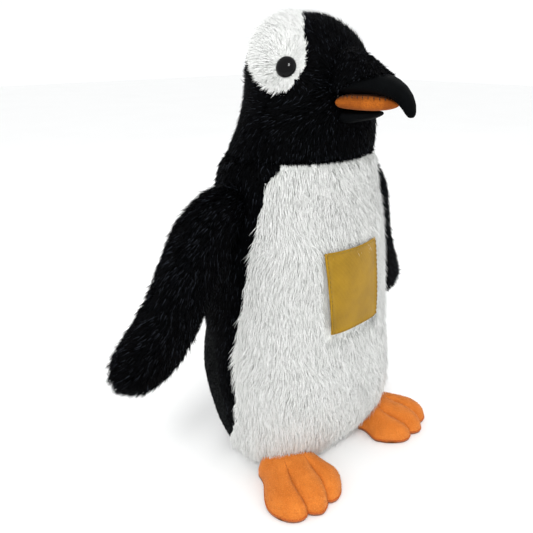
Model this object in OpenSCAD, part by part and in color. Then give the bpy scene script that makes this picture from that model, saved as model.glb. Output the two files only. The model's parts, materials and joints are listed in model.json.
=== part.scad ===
// Plush penguin, standing, with a generic sewn chest label.
// The toy faces -Y, its right side is at -X, and it stands on z = 0.
// Fabric surfaces are the backing cloth; the pile stands outside them.

/* [Overall size] */
// Height from the floor to the fabric of the crown
toy_h = 298; // [240:1:360]
// Thickness of the plush fabric panels
fabric_t = 2; // [1.5:0.1:2.6]
// Gap along each seam and under each panel
seam_gap = 0.35; // [0.25:0.05:0.6]

/* [Neck] */
// Gap between the body and the head at the neck seam
neck_gap = 0.8; // [0.5:0.1:1.5]

/* [Flippers] */
// How far the right flipper hangs below its pattern pose, in degrees
right_droop = 0; // [0:1:12]
// How far the left flipper hangs below its pattern pose, in degrees
left_droop = 15; // [0:1:16]
// Half of the stuffed thickness of a flipper
flipper_half_t = 7; // [5:0.5:9]

/* [Feet] */
// Height of the stuffed toes
toe_h = 17; // [13:1:20]
// Outward turn of the toes of each foot, in degrees
foot_splay = 9; // [6:1:13]
// Turn of the seam that joins each foot to the body, in degrees
foot_seam_turn = 19; // [16:1:22]

/* [Eyes] */
// Diameter of the safety eyes
eye_d = 11.6; // [9:0.2:13]

/* [Chest label] */
// Width of the label
label_w = 46; // [36:1:54]
// Height of the label
label_h = 53; // [40:1:60]

/* [Hidden] */
k = toy_h / 298;
black_plush = "#14171a";
white_plush = "#e6e8e4";
black_velboa = "#1b2120";
orange_velour = "#e8822a";
orange_suede = "#b86a24";
gold_satin = "#b9952a";
filling = "#f2f0ea";

// Stations up the skin: height, half width, depth to the front, depth to the back, widest line
skin_rows = [
    [0, 51, 33, 42, 0],
    [3, 55.5, 36, 46, 0],
    [12, 60.5, 41, 50, 0],
    [30, 65, 48, 56, 1],
    [60, 68.5, 53.3, 61, 2],
    [90, 66.5, 51.6, 58.5, 2],
    [130, 62, 48.8, 52, 2],
    [165, 58.5, 45.3, 47, 2],
    [195, 53.5, 39.5, 44, 3],
    [217, 48.8, 38.2, 39.5, 2],
    [235, 43.8, 39.2, 31.5, -3],
    [258, 40.8, 38.6, 26.5, -6]
];
neck_z = 217;
dome_z = 258;
dome_h = 298 - dome_z;
dome_arc = 68;
crown_y = 1.5;
// The flat base is rounder than an ellipse at the front, where the hem runs straight
side_power = 2.3;
hem_power = 3.1;
hem_fade_z = 70;

// Smooth value between four neighbouring stations
function cubic(p0, p1, p2, p3, t) =
    0.5 * (2 * p1 + (p2 - p0) * t + (2 * p0 - 5 * p1 + 4 * p2 - p3) * t * t
    + (3 * p1 - p0 - 3 * p2 + p3) * t * t * t);
function spanOf(rows, x, i = 0) = (i >= len(rows) - 2 || x < rows[i + 1][0]) ? i : spanOf(rows, x, i + 1);
function smoothRow(rows, x) =
    let (
        i = spanOf(rows, x),
        last = len(rows) - 1,
        t = (x - rows[i][0]) / (rows[i + 1][0] - rows[i][0])
    )
    cubic(rows[max(i - 1, 0)], rows[i], rows[i + 1], rows[min(i + 2, last)], min(max(t, 0), 1));
function mix(a, b, t) = a + (b - a) * t;
function fade(t) = let (c = min(max(t, 0), 1)) c * c * (3 - 2 * c);
function signedPow(v, e) = sign(v) * pow(abs(v), e);

// Skin section at a height, as [z, half width, front, back, widest line]
function wallRow(z) = smoothRow(skin_rows, z);
function domeRow(tilt) =
    let (top = wallRow(dome_z), shrink = pow(cos(tilt), 0.85), y = mix(top[4], crown_y, sin(tilt)))
    [
        dome_z + dome_h * sin(tilt),
        top[1] * shrink,
        (top[2] + top[4]) * shrink,
        (top[3] - top[4]) * shrink,
        y
    ];
// A wall row gives the depth from x = 0 and a dome row gives it from the widest line
function rowPoint(row, u, inset, power, fromLine) =
    let (
        c = cos(u),
        front = fromLine ? row[2] : row[2] + row[4],
        back = fromLine ? row[3] : row[3] - row[4],
        depth = (c > 0 ? front : back) - inset,
        e = 2 / power
    )
    [(row[1] - inset) * signedPow(sin(u), e), row[4] - depth * signedPow(c, e), row[0]];
function wallPower(u, z) = side_power + (cos(u) > 0 ? (hem_power - side_power) * fade(1 - z / hem_fade_z) : 0);
// Point of the skin at an angle round the body (0 at the front, 90 at the left side) and a height
function wallPoint(u, z, inset = 0) = k * rowPoint(wallRow(z), u, inset, wallPower(u, z), false);
function domePoint(u, tilt, inset = 0) =
    let (p = rowPoint(domeRow(tilt), u, 0, side_power, true), c = [0, domeRow(90)[4], dome_z])
    k * (p - inset * (p - c) / norm(p - c));
// Point of the head skin from a flat map of it, whose centre is the crown
function headPoint(m, inset = 0) =
    let (r = norm(m), u = atan2(m[0], -m[1]))
    r < dome_arc ? domePoint(u, 90 * (1 - r / dome_arc), inset) : wallPoint(u, dome_z - (r - dome_arc), inset);
neck_arc = dome_arc + dome_z - neck_z - neck_gap;

// Faces of a sheet of points given row by row
function sheetFaces(n, m, start, turn) = [
    for (i = [0:n - 2], j = [0:m - 2])
        let (a = start + i * m + j, b = a + 1, c = a + m, d = c + 1)
        each turn ? [[a, b, d], [a, d, c]] : [[a, d, b], [a, c, d]]
];
function rimIndex(n, m) = concat(
    [for (j = [0:m - 1]) j],
    [for (i = [1:n - 1]) i * m + m - 1],
    [for (j = [m - 2:-1:0]) (n - 1) * m + j],
    [for (i = [n - 2:-1:1]) i * m]
);
// Fabric panel: an outer and an inner sheet of points, closed along the rim
module panel(outer, inner) {
    n = len(outer);
    m = len(outer[0]);
    rim = rimIndex(n, m);
    edge = [
        for (i = [0:len(rim) - 1])
            let (a = rim[i], b = rim[(i + 1) % len(rim)], c = n * m)
            each [[a, b, a + c], [b, b + c, a + c]]
    ];
    polyhedron(
        points = concat([for (r = outer) each r], [for (r = inner) each r]),
        faces = concat(sheetFaces(n, m, 0, false), sheetFaces(n, m, n * m, true), edge)
    );
}
function ringFaces(n, m, start, turn) = [
    for (i = [0:n - 2], j = [0:m - 1])
        let (a = start + i * m + j, b = start + i * m + (j + 1) % m, c = a + m, d = b + m)
        each turn ? [[a, b, d], [a, d, c]] : [[a, d, b], [a, c, d]]
];
function capFaces(first, m, centre, turn) = [
    for (j = [0:m - 1])
        let (a = first + j, b = first + (j + 1) % m)
        turn ? [b, a, centre] : [a, b, centre]
];
function centreOf(ring) = [for (axis = [0:2]) let (v = [for (p = ring) p[axis]]) (min(v) + max(v)) / 2];
// Solid lofted through closed rings of points
module loft(rings) {
    n = len(rings);
    m = len(rings[0]);
    polyhedron(
        points = concat([for (r = rings) each r], [centreOf(rings[0]), centreOf(rings[n - 1])]),
        faces = concat(
            ringFaces(n, m, 0, false),
            capFaces(0, m, n * m, false),
            capFaces((n - 1) * m, m, n * m + 1, true)
        )
    );
}
// Sleeve lofted through rings, open at its first ring and closed at its last
module sleeve(outer, inner) {
    n = len(outer);
    m = len(outer[0]);
    half = n * m;
    rim = [
        for (j = [0:m - 1])
            let (a = j, b = (j + 1) % m)
            each [[a, b, a + half], [b, b + half, a + half]]
    ];
    polyhedron(
        points = concat(
            [for (r = outer) each r],
            [for (r = inner) each r],
            [centreOf(outer[n - 1]), centreOf(inner[n - 1])]
        ),
        faces = concat(
            ringFaces(n, m, 0, false),
            capFaces((n - 1) * m, m, 2 * half, true),
            ringFaces(n, m, half, true),
            capFaces(half + (n - 1) * m, m, 2 * half + 1, false),
            rim
        )
    );
}

// Side seam of the belly panel: its angle from the front at each height
belly_rows = [[2, 99], [20, 94], [45, 86], [70, 84], [100, 85], [150, 79], [190, 70], [208, 66], [216.4, 56]];
belly_low = 2.4;
belly_top = 216.4;
function bellyEdge(z) = smoothRow(belly_rows, z)[1];
// Height where the smooth seat fabric meets the long pile of the back
seat_top_z = 98;
seat_low_z = 26;
function seatTop(share) = mix(seat_low_z, seat_top_z, fade(share * 5));
gap_u = 0.8;
// Columns of the back sheets stand closer together near the side seams
back_crowding = 1.4;

module belly_panel() {
    rows = 22;
    cols = 18;
    function p(i, j, inset) =
        let (z = mix(belly_low, belly_top, pow(i / rows, 0.9)))
        wallPoint(mix(-1, 1, j / cols) * (bellyEdge(z) - gap_u), z, inset);
    color(white_plush)
        panel(
            [for (i = [0:rows]) [for (j = [0:cols]) p(i, j, 0)]],
            [for (i = [0:rows]) [for (j = [0:cols]) p(i, j, fabric_t)]]
        );
}
// Point of the back at a share of the way from the side seam to the middle of the back
function backPoint(share, z, side, inset) =
    wallPoint(side * mix(bellyEdge(z) + gap_u, 180 - gap_u, share), z, inset);
module back_panel(side) {
    rows = 16;
    cols = 14;
    neck_top = neck_z - seam_gap;
    function p(i, j, inset) =
        let (share = pow(j / cols, back_crowding), low = seatTop(share) + seam_gap)
        backPoint(share, mix(low, neck_top, i / rows), side, inset);
    sheet = [for (i = [0:rows]) [for (j = [0:cols]) p(i, side < 0 ? cols - j : j, 0)]];
    lining = [for (i = [0:rows]) [for (j = [0:cols]) p(i, side < 0 ? cols - j : j, fabric_t)]];
    color(black_plush) panel(sheet, lining);
}
module back_panel_right() {
    back_panel(-1);
}
module back_panel_left() {
    back_panel(1);
}
module seat_panel() {
    rows = 10;
    cols = 28;
    function p(i, j, inset) =
        let (
            s = mix(-1, 1, j / cols),
            share = pow(1 - abs(s), back_crowding),
            z = mix(belly_low, seatTop(share), i / rows),
            u = mix(bellyEdge(z) + gap_u, 180, share)
        )
        wallPoint(s < 0 ? u : -u, z, inset);
    color(black_velboa)
        panel(
            [for (i = [0:rows]) [for (j = [0:cols]) p(i, j, 0)]],
            [for (i = [0:rows]) [for (j = [0:cols]) p(i, j, fabric_t)]]
        );
}
module base_panel() {
    steps = 48;
    color(black_velboa)
        linear_extrude(fabric_t * k)
            polygon([for (j = [0:steps - 1]) let (p = wallPoint(360 * j / steps, 0)) [p[0], p[1]]]);
}
under_fabric = fabric_t + 2 * seam_gap;
function wallRing(z, inset, steps) = [for (j = [0:steps - 1]) wallPoint(360 * j / steps, z, inset)];
function domeRing(tilt, inset, steps) = [for (j = [0:steps - 1]) domePoint(360 * j / steps, tilt, inset)];
pouch_top = 44;
module torso_stuffing() {
    color(filling)
        loft([
            for (z = [pouch_top + 1, 60, 76, 92, 108, 124, 140, 156, 172, 186, 200, neck_z - 1])
                wallRing(z, under_fabric, 28)
        ]);
}
pouch_r = 36;
pouch_low = 2.8;
pouch_round = 11;
pouch_cloth = 0.8;
pouch_y = 3;
module bean_pouch() {
    color("#d8d4c8")
        translate([0, pouch_y * k, 0])
            scale(k)
                difference() {
                    rotate_extrude($fn = 40) roundedHalf(pouch_r, pouch_low, pouch_top, pouch_round);
                    rotate_extrude($fn = 40)
                        roundedHalf(
                            pouch_r - pouch_cloth,
                            pouch_low + pouch_cloth,
                            pouch_top - pouch_cloth,
                            pouch_round - pouch_cloth
                        );
                }
}
// Half section of a round cushion with soft corners
module roundedHalf(r, low, top, corner) {
    square_w = r - corner;
    translate([0, low]) square([square_w, top - low]);
    translate([0, low + corner]) square([r, top - low - 2 * corner]);
    for (z = [low + corner, top - corner])
        translate([square_w, z])
            intersection() {
                circle(corner, $fn = 32);
                translate([0, -corner]) square([corner, 2 * corner]);
            }
}
module bean_pellets() {
    free = pouch_cloth + 0.3;
    color("#c9ccd0")
        translate([0, pouch_y * k, 0])
            scale(k)
                rotate_extrude($fn = 40)
                    roundedHalf(pouch_r - free, pouch_low + free, pouch_top - 4, pouch_round - free);
}

// The label lies on the belly fabric; its points are found from x and height
label_x = -4.5;
label_z = 133;
label_t = 1;
function frontY(x, z) =
    let (row = wallRow(z), n = wallPower(0, z))
    row[4] - (row[2] + row[4]) * pow(1 - pow(abs(x) / row[1], n), 1 / n);
function labelPoint(x, z, lift) = k * [x, frontY(x, z) - lift, z];
module chest_label() {
    cols = 8;
    rows = 8;
    function p(i, j, lift) =
        let (x = label_x + label_w * (j / cols - 0.5), z = label_z + label_h * (i / rows - 0.5))
        labelPoint(x, z, lift);
    color(gold_satin)
        panel(
            [for (i = [0:rows]) [for (j = [0:cols]) p(i, j, seam_gap + label_t)]],
            [for (i = [0:rows]) [for (j = [0:cols]) p(i, j, seam_gap)]]
        );
}
stitch_len = 2.2;
stitch_pitch = 3.4;
stitch_d = 0.6;
module stitch(at, turn) {
    translate(at) rotate(turn) cube([stitch_len, stitch_d, stitch_d] * k, center = true);
}
module label_stitches() {
    margin = 2.2;
    half_w = label_w / 2 - margin;
    half_h = label_h / 2 - margin;
    lift = seam_gap + label_t + 1.8 * stitch_d;
    across = floor(half_w / stitch_pitch);
    up = floor(half_h / stitch_pitch);
    color("#8a6d18") {
        for (i = [-across:across], side = [-1, 1])
            let (x = label_x + i * stitch_pitch, rise = frontY(x + 1, label_z) - frontY(x - 1, label_z))
            stitch(labelPoint(x, label_z + side * half_h, lift), [0, 0, -atan(rise / 2)]);
        for (i = [-up:up], side = [-1, 1])
            stitch(labelPoint(label_x + side * half_w, label_z + i * stitch_pitch, lift), [0, -90, 0]);
    }
}
closing_low = 112;
closing_high = 168;
module closing_stitches() {
    color(black_velboa)
        for (z = [closing_low:stitch_pitch:closing_high])
            let (y = wallRow(z)[3])
            stitch(k * [0, y + stitch_d, z], 0);
}
module care_label() {
    tag_w = 16;
    tag_len = 24;
    tag_t = 0.6;
    tag_z = 22;
    tag_u = 118;
    tag_turn = 42;
    tag_gap = 1.2;
    edge = wallPoint(tag_u, tag_z + tag_w / 2, -tag_gap);
    color("#f4f3ee")
        translate([edge[0], edge[1], tag_z * k])
            rotate([0, 0, tag_turn])
                cube([tag_len, tag_t, tag_w] * k);
}

// White band over the crown, drawn on the flat map of the head
band_end = 67.5;
band_front_rows = [[0, 0], [6, -6], [19, -20], [32, -31], [44, -40], [52, -37], [60, -30], [67.5, -16]];
band_back_rows = [[0, 28], [30, 25], [48, 19], [58, 10], [64, 0], [67.5, -10]];
function bandFront(x) = smoothRow(band_front_rows, abs(x))[1];
function bandBack(x) = smoothRow(band_back_rows, abs(x))[1];
map_gap = seam_gap / 2;
module head_band() {
    rows = 5;
    cols = 26;
    function p(i, j, inset) =
        let (x = band_end * sin(mix(-90, 90, j / cols)))
        headPoint([x, mix(bandFront(x) + map_gap, bandBack(x) - map_gap, i / rows)], inset);
    color(white_plush)
        panel(
            [for (i = [0:rows]) [for (j = [0:cols]) p(i, j, 0)]],
            [for (i = [0:rows]) [for (j = [0:cols]) p(i, j, fabric_t)]]
        );
}
cheek_seam_u = 84;
function neckMap(u) = neck_arc * [sin(u), -cos(u)];
module face_panel() {
    rows = 12;
    cols = 24;
    function p(i, j, inset) =
        let (
            s = mix(-1, 1, j / cols),
            x = band_end * sin(90 * s),
            top = [x, bandFront(x) - map_gap],
            low = neckMap(s * (cheek_seam_u - gap_u))
        )
        headPoint(mix(low, top, i / rows), inset);
    color(black_plush)
        panel(
            [for (i = [0:rows]) [for (j = [0:cols]) p(i, j, 0)]],
            [for (i = [0:rows]) [for (j = [0:cols]) p(i, j, fabric_t)]]
        );
}
module nape_panel(side) {
    rows = 10;
    cols = 12;
    seam = 0.2;
    function p(i, j, inset) =
        let (
            s = side < 0 ? 1 - j / cols : j / cols,
            x = side * max(band_end * cos(90 * s), seam),
            top = [x, bandBack(x) + map_gap],
            low = neckMap(side * mix(cheek_seam_u + gap_u, 180 - gap_u / 2, s))
        )
        headPoint(mix(low, top, i / rows), inset);
    color(black_plush)
        panel(
            [for (i = [0:rows]) [for (j = [0:cols]) p(i, j, 0)]],
            [for (i = [0:rows]) [for (j = [0:cols]) p(i, j, fabric_t)]]
        );
}
module nape_panel_right() {
    nape_panel(-1);
}
module nape_panel_left() {
    nape_panel(1);
}
module head_stuffing() {
    steps = 28;
    head_ease = 0.5;
    color(filling)
        loft(concat(
            [for (z = [neck_z + neck_gap + 0.2, 226, 236, 247]) wallRing(z, under_fabric + head_ease, steps)],
            [for (tilt = [0, 18, 36, 52, 66, 78]) domeRing(tilt, under_fabric + head_ease, steps)]
        ));
}

// Eye: place on the skin and the direction that it looks
eye_u = 66;
eye_z = 270;
eye_tilt = asin((eye_z - dome_z) / dome_h);
eye_dome_h = 4.6;
// Radius of the domed front as a share of the eye's own radius
eye_curve = 1.25;
shank_len = 11;
shank_d = 4;
washer_d = 13;
washer_t = 1.4;
washer_gap = 1.5;
module atEye(side) {
    at = domePoint(side * eye_u, eye_tilt);
    ahead = domePoint(side * (eye_u - 4), eye_tilt) - domePoint(side * (eye_u + 4), eye_tilt);
    up = domePoint(side * eye_u, eye_tilt + 5) - domePoint(side * eye_u, eye_tilt - 5);
    out = side * cross(up, ahead);
    translate(at)
        rotate([0, acos(out[2] / norm(out)), atan2(out[1], out[0])])
            scale(k)
                children();
}
module eye(side) {
    r = eye_d / 2;
    color("#0a0a0c")
        atEye(side) {
            translate([0, 0, seam_gap])
                rotate_extrude($fn = 40)
                    intersection() {
                        translate([0, -r * (eye_curve - 0.5)]) circle(r * eye_curve, $fn = 64);
                        square([r, eye_dome_h]);
                    }
            translate([0, 0, -shank_len]) cylinder(h = shank_len + seam_gap + 0.5, d = shank_d, $fn = 24);
        }
}
module eye_right() {
    eye(-1);
}
module eye_left() {
    eye(1);
}
module eye_washer(side) {
    color("#e9e7df")
        atEye(side)
            translate([0, 0, -fabric_t - washer_gap - washer_t])
                difference() {
                    cylinder(h = washer_t, d = washer_d, $fn = 32);
                    translate([0, 0, -washer_t]) cylinder(h = 3 * washer_t, d = shank_d, $fn = 24);
                }
}
module eye_washer_right() {
    eye_washer(-1);
}
module eye_washer_left() {
    eye_washer(1);
}

// Beak sections along its line: share, y, z, half width, half height, lean of the section
upper_beak_rows = [
    [0, -39.2, 260.8, 18.5, 5.4, 0],
    [0.2, -46, 261.4, 16.5, 6, 4],
    [0.4, -54, 261.6, 12.5, 6, 10],
    [0.6, -63, 260, 8.8, 5.2, 24],
    [0.75, -70, 257, 6.2, 4.5, 42],
    [0.87, -75, 252.4, 4.4, 3.9, 62],
    [0.96, -77.6, 247.6, 3, 3, 76],
    [1, -78.6, 244.6, 1.5, 1.6, 82]
];
lower_beak_rows = [
    [0, -39.2, 251.1, 18.5, 4, 0],
    [0.3, -48, 250.9, 16, 4.2, 0],
    [0.55, -56, 250.8, 11.5, 4, 0],
    [0.8, -64, 250.8, 6, 3, 0],
    [1, -69.6, 251, 1.6, 1.2, 0]
];
chin_rows = [
    [0, -39.4, 242.5, 14, 4, 0],
    [0.5, -47, 243.2, 11, 2.9, 0],
    [0.8, -54, 244.2, 7, 1.9, 0],
    [1, -59, 245.2, 2.6, 0.8, 0]
];
function beakRing(rows, t, inset, steps) =
    let (
        row = smoothRow(rows, t),
        w = max(row[3] - inset, 0.3),
        h = max(row[4] - inset, 0.3),
        e = 2 / 2.4
    )
    [
        for (j = [0:steps - 1])
            let (
                a = 360 * j / steps,
                x = w * signedPow(cos(a), e),
                v = h * signedPow(sin(a), e)
            )
            k * [x, row[1] - v * sin(row[5]), row[2] + v * cos(row[5])]
    ];
beak_cloth = 1;
module upper_beak() {
    shares = [0, 0.12, 0.25, 0.38, 0.5, 0.62, 0.73, 0.83, 0.91, 0.97, 1];
    inner_end = 0.94;
    color("#16181b")
        sleeve(
            [for (t = shares) beakRing(upper_beak_rows, t, 0, 20)],
            [for (t = shares) beakRing(upper_beak_rows, t * inner_end, beak_cloth, 20)]
        );
}
module beak_stuffing() {
    reach = 0.86;
    free = beak_cloth + 2 * seam_gap;
    color(filling)
        loft([
            for (t = [0, 0.2, 0.4, 0.6, 0.8, 1])
                beakRing(upper_beak_rows, t * reach, free, 16)
        ]);
}
module lower_beak() {
    color(orange_suede) loft([for (t = [0:0.125:1]) beakRing(lower_beak_rows, t, 0, 20)]);
}
module chin_gusset() {
    color("#16181b") loft([for (t = [0:0.2:1]) beakRing(chin_rows, t, 0, 16)]);
}
module beak_stitches() {
    thread = 0.5;
    length = 2.2;
    color("#5a3310")
        for (t = [0.1:0.08:0.82], side = [-1, 1])
            let (row = smoothRow(lower_beak_rows, t), next = smoothRow(lower_beak_rows, t + 0.05))
            translate(k * [side * (row[3] + 0.3), row[1], row[2] + row[4] * 0.6])
                rotate([0, 0, side * atan2(row[3] - next[3], row[1] - next[1])])
                    cube(k * [thread, thread, length], center = true);
}

// Flipper pattern at the right side: share, x, z, half width
flipper_rows = [
    [0, -59, 190.6, 3],
    [0.03, -60.8, 190.4, 8],
    [0.08, -64.8, 189, 12.2],
    [0.15, -71.8, 184.9, 16.2],
    [0.3, -83, 174.5, 19.5],
    [0.45, -93, 159.5, 19.5],
    [0.6, -104, 142, 18.5],
    [0.75, -116.5, 125, 18.5],
    [0.86, -128.5, 114.5, 17],
    [0.93, -136.5, 110, 14],
    [0.98, -143, 107.5, 9.5],
    [1, -146.6, 106, 4.5]
];
flipper_y = 3;
flipper_pivot = [-72, flipper_y, 189];
function flipperSection(t) =
    let (
        row = smoothRow(flipper_rows, t),
        ahead = smoothRow(flipper_rows, min(t + 0.06, 1)),
        behind = smoothRow(flipper_rows, max(t - 0.06, 0)),
        d = [ahead[1] - behind[1], ahead[2] - behind[2]],
        n = [d[1], -d[0]] / norm(d)
    )
    [[row[1], row[2]], n, row[3]];
// Point of one face of the flipper; face is 1 for the front and -1 for the back
flipper_edge_t = 0.6;
flipper_cloth = 1.6;
function flipperPoint(t, s, face, inset) =
    let (
        sec = flipperSection(t),
        full = (flipper_half_t - flipper_edge_t) * pow(max(1 - s * s, 0), 0.6) * fade(sec[2] / 14),
        at = sec[0] + sec[1] * s * sec[2],
        lift = seam_gap / 2 + max(flipper_edge_t + full - inset, 0)
    )
    [at[0], flipper_y - face * lift, at[1]];
flipper_shares = [0, 0.02, 0.05, 0.09, 0.15, 0.25, 0.36, 0.47, 0.58, 0.69, 0.79, 0.87, 0.93, 0.97, 1];
module atFlipper(side) {
    droop = side < 0 ? right_droop : left_droop;
    mirror([side < 0 ? 0 : 1, 0, 0])
        scale(k)
            translate(flipper_pivot)
                rotate([0, -droop, 0])
                    translate(-flipper_pivot)
                        children();
}
module flipper_face(side, face) {
    cols = 8;
    function sheet(inset) = [
        for (t = flipper_shares) [for (j = [0:cols]) flipperPoint(t, face * mix(-1, 1, j / cols), face, inset)]
    ];
    color(black_plush) atFlipper(side) panel(sheet(0), sheet(flipper_cloth));
}
module flipper_right_front() {
    flipper_face(-1, 1);
}
module flipper_right_back() {
    flipper_face(-1, -1);
}
module flipper_left_front() {
    flipper_face(1, 1);
}
module flipper_left_back() {
    flipper_face(1, -1);
}
module flipper_stuffing(side) {
    steps = 16;
    free = flipper_cloth + seam_gap;
    function ring(t) =
        let (
            sec = flipperSection(t),
            w = sec[2] * 0.8,
            h = max(flipper_half_t * fade(sec[2] / 14) - free - 0.6, 0.6)
        )
        [
            for (j = [0:steps - 1])
                let (a = 360 * j / steps, at = sec[0] + sec[1] * w * cos(a))
                [at[0], flipper_y + h * sin(a) * 0.8, at[1]]
        ];
    color(filling) atFlipper(side) loft([for (t = [0.1, 0.2, 0.35, 0.5, 0.65, 0.78, 0.88, 0.94]) ring(t)]);
}
module flipper_right_stuffing() {
    flipper_stuffing(-1);
}
module flipper_left_stuffing() {
    flipper_stuffing(1);
}

// Foot pattern at the left side, in its own plane: along the toes and across them
foot_at = [47, -36.5];
foot_w = [21, 29.5];
foot_len = 39;
toe_notch = 5.5;
toe_valley = 0.34;
sole_t = 2;
foot_cloth = 1.6;
// 0 along the two grooves between the toes, 1 along each toe
function toeShape(s) = pow(abs(cos(270 * s)), 0.55);
function toeReach(s) = foot_len * (1 - 0.1 * s * s) - toe_notch * (1 - toeShape(s)) + (1 - abs(s)) * 3;
function footPlan(s, q) =
    let (
        w = mix(foot_w[0], foot_w[1], fade(q * 1.4)),
        turn = mix(foot_seam_turn, foot_splay, fade(q * 1.2)),
        across = w * s * (1 - 0.16 * pow(q, 6)) + 5 * q,
        along = q * toeReach(s)
    )
    [across * cos(turn) + along * sin(foot_splay), across * sin(turn) - along * cos(foot_splay)];
function footTop(s, q) =
    let (
        side = pow(max(1 - pow(abs(s), 2.6), 0), 0.5),
        tip = pow(max(1 - pow(q, 3.4), 0), 0.5),
        root = mix(0.42, 1, fade(q * 2.2)),
        valley = 1 - toe_valley * (1 - toeShape(s)) * fade((q - 0.15) * 2.5)
    )
    sole_t + 0.3 + (toe_h - sole_t) * side * tip * root * valley;
function footPoint(s, q) = let (p = footPlan(s, q)) [foot_at[0] + p[0], foot_at[1] + p[1], footTop(s, q)];
foot_cols = 24;
foot_rows = 10;
module atFoot(side) {
    mirror([side < 0 ? 1 : 0, 0, 0]) scale(k) children();
}
function footShare(i) = pow(i / foot_rows, 0.75);
module foot_top(side) {
    function p(i, j, inset) =
        let (q = footPoint(mix(1, -1, j / foot_cols), footShare(i)), lift = q[2] - sole_t - 0.3)
        [q[0], q[1], max(q[2] - min(inset, lift + 0.25), sole_t + 0.1) + (inset > 0 ? 0 : 0.25)];
    color(orange_velour)
        atFoot(side)
            panel(
                [for (i = [0:foot_rows]) [for (j = [0:foot_cols]) p(i, j, 0)]],
                [for (i = [0:foot_rows]) [for (j = [0:foot_cols]) p(i, j, foot_cloth)]]
            );
}
module foot_right_top() {
    foot_top(-1);
}
module foot_left_top() {
    foot_top(1);
}
module foot_stuffing(side) {
    free = foot_cloth + 3 * seam_gap;
    reach = 0.82;
    slack = 0.86;
    steps = 22;
    function ring(q) = [
        for (j = [0:steps])
            let (p = footPoint(mix(reach, -reach, j / steps), q))
            [p[0], p[1], max(slack * (p[2] - free), sole_t + 0.9)],
        for (j = [steps:-1:0])
            let (p = footPoint(mix(reach, -reach, j / steps), q)) [p[0], p[1], sole_t + 0.4]
    ];
    color(filling) atFoot(side) loft([for (q = [0.08, 0.16, 0.24, 0.35, 0.5, 0.65, 0.76, 0.85]) ring(q)]);
}
module foot_right_stuffing() {
    foot_stuffing(-1);
}
module foot_left_stuffing() {
    foot_stuffing(1);
}
module foot_sole(side) {
    tips = [for (j = [0:foot_cols]) footPlan(mix(1, -1, j / foot_cols), 1)];
    inner = [for (i = [foot_rows - 1:-1:0]) footPlan(-1, footShare(i))];
    outer = [for (i = [0:foot_rows - 1]) footPlan(1, footShare(i))];
    color("#8a4a1c")
        atFoot(side)
            translate([foot_at[0], foot_at[1], 0])
                linear_extrude(sole_t)
                    polygon(concat(outer, tips, inner));
}
module foot_right_sole() {
    foot_sole(-1);
}
module foot_left_sole() {
    foot_sole(1);
}

belly_panel();
back_panel_right();
back_panel_left();
seat_panel();
base_panel();
torso_stuffing();
bean_pouch();
bean_pellets();
chest_label();
label_stitches();
closing_stitches();
care_label();
face_panel();
head_band();
nape_panel_right();
nape_panel_left();
head_stuffing();
eye_right();
eye_left();
eye_washer_right();
eye_washer_left();
upper_beak();
beak_stuffing();
lower_beak();
chin_gusset();
beak_stitches();
flipper_right_front();
flipper_right_back();
flipper_right_stuffing();
flipper_left_front();
flipper_left_back();
flipper_left_stuffing();
foot_right_top();
foot_right_stuffing();
foot_right_sole();
foot_left_top();
foot_left_stuffing();
foot_left_sole();
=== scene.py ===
import json
import math

import bpy
import numpy as np
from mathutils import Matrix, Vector
from mathutils.bvhtree import BVHTree
from mathutils.kdtree import KDTree


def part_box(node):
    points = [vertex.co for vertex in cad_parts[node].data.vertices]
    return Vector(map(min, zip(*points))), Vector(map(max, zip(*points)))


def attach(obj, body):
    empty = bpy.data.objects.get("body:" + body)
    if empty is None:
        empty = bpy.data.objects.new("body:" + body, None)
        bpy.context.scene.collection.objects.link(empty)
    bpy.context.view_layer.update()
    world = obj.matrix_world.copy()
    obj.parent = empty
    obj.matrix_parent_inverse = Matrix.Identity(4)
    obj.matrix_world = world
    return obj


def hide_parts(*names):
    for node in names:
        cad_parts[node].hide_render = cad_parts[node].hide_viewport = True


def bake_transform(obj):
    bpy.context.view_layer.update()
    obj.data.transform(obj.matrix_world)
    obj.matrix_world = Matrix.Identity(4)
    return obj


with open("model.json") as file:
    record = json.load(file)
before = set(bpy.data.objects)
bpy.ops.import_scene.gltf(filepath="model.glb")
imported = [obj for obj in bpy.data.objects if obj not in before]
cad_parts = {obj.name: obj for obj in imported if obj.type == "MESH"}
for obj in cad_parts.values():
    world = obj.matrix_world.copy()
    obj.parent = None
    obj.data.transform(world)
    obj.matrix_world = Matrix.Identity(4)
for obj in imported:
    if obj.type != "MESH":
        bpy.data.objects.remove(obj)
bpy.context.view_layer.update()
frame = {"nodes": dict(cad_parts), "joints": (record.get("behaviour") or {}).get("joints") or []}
nodes = frame["nodes"]
joints = {j["name"]: j for j in frame["joints"]}
scene = bpy.context.scene
mm = 0.001
print("frame loaded:", len(nodes), "nodes")


# small helpers: colour, nodes, meshes
def hexColour(text, alpha=1.0):
    # sRGB hex to the linear colour that the shaders use
    parts = [int(text[i:i + 2], 16) / 255 for i in (1, 3, 5)]
    return [c / 12.92 if c <= 0.04045 else ((c + 0.055) / 1.055) ** 2.4 for c in parts] + [alpha]


def addNode(tree, kind, inputs=None, **settings):
    # one node with its settings; an input is a value, or a socket to link from
    node = tree.nodes.new(kind)
    for key, value in settings.items():
        setattr(node, key, value)
    for key, value in (inputs or {}).items():
        if isinstance(value, bpy.types.NodeSocket):
            tree.links.new(value, node.inputs[key])
        else:
            node.inputs[key].default_value = value
    return node


def startMaterial(name, **values):
    # a new material with its shader; the values go on the shader's own sockets
    material = bpy.data.materials.new(name)
    material.use_nodes = True
    tree = material.node_tree
    tree.nodes.clear()
    shader = addNode(tree, "ShaderNodeBsdfPrincipled", values)
    addNode(tree, "ShaderNodeOutputMaterial", {"Surface": shader.outputs["BSDF"]})
    return material, tree, shader


sideSign = {"right": -1, "left": 1}


def fade(t):
    c = np.clip(t, 0, 1)
    return c * c * (3 - 2 * c)


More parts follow.
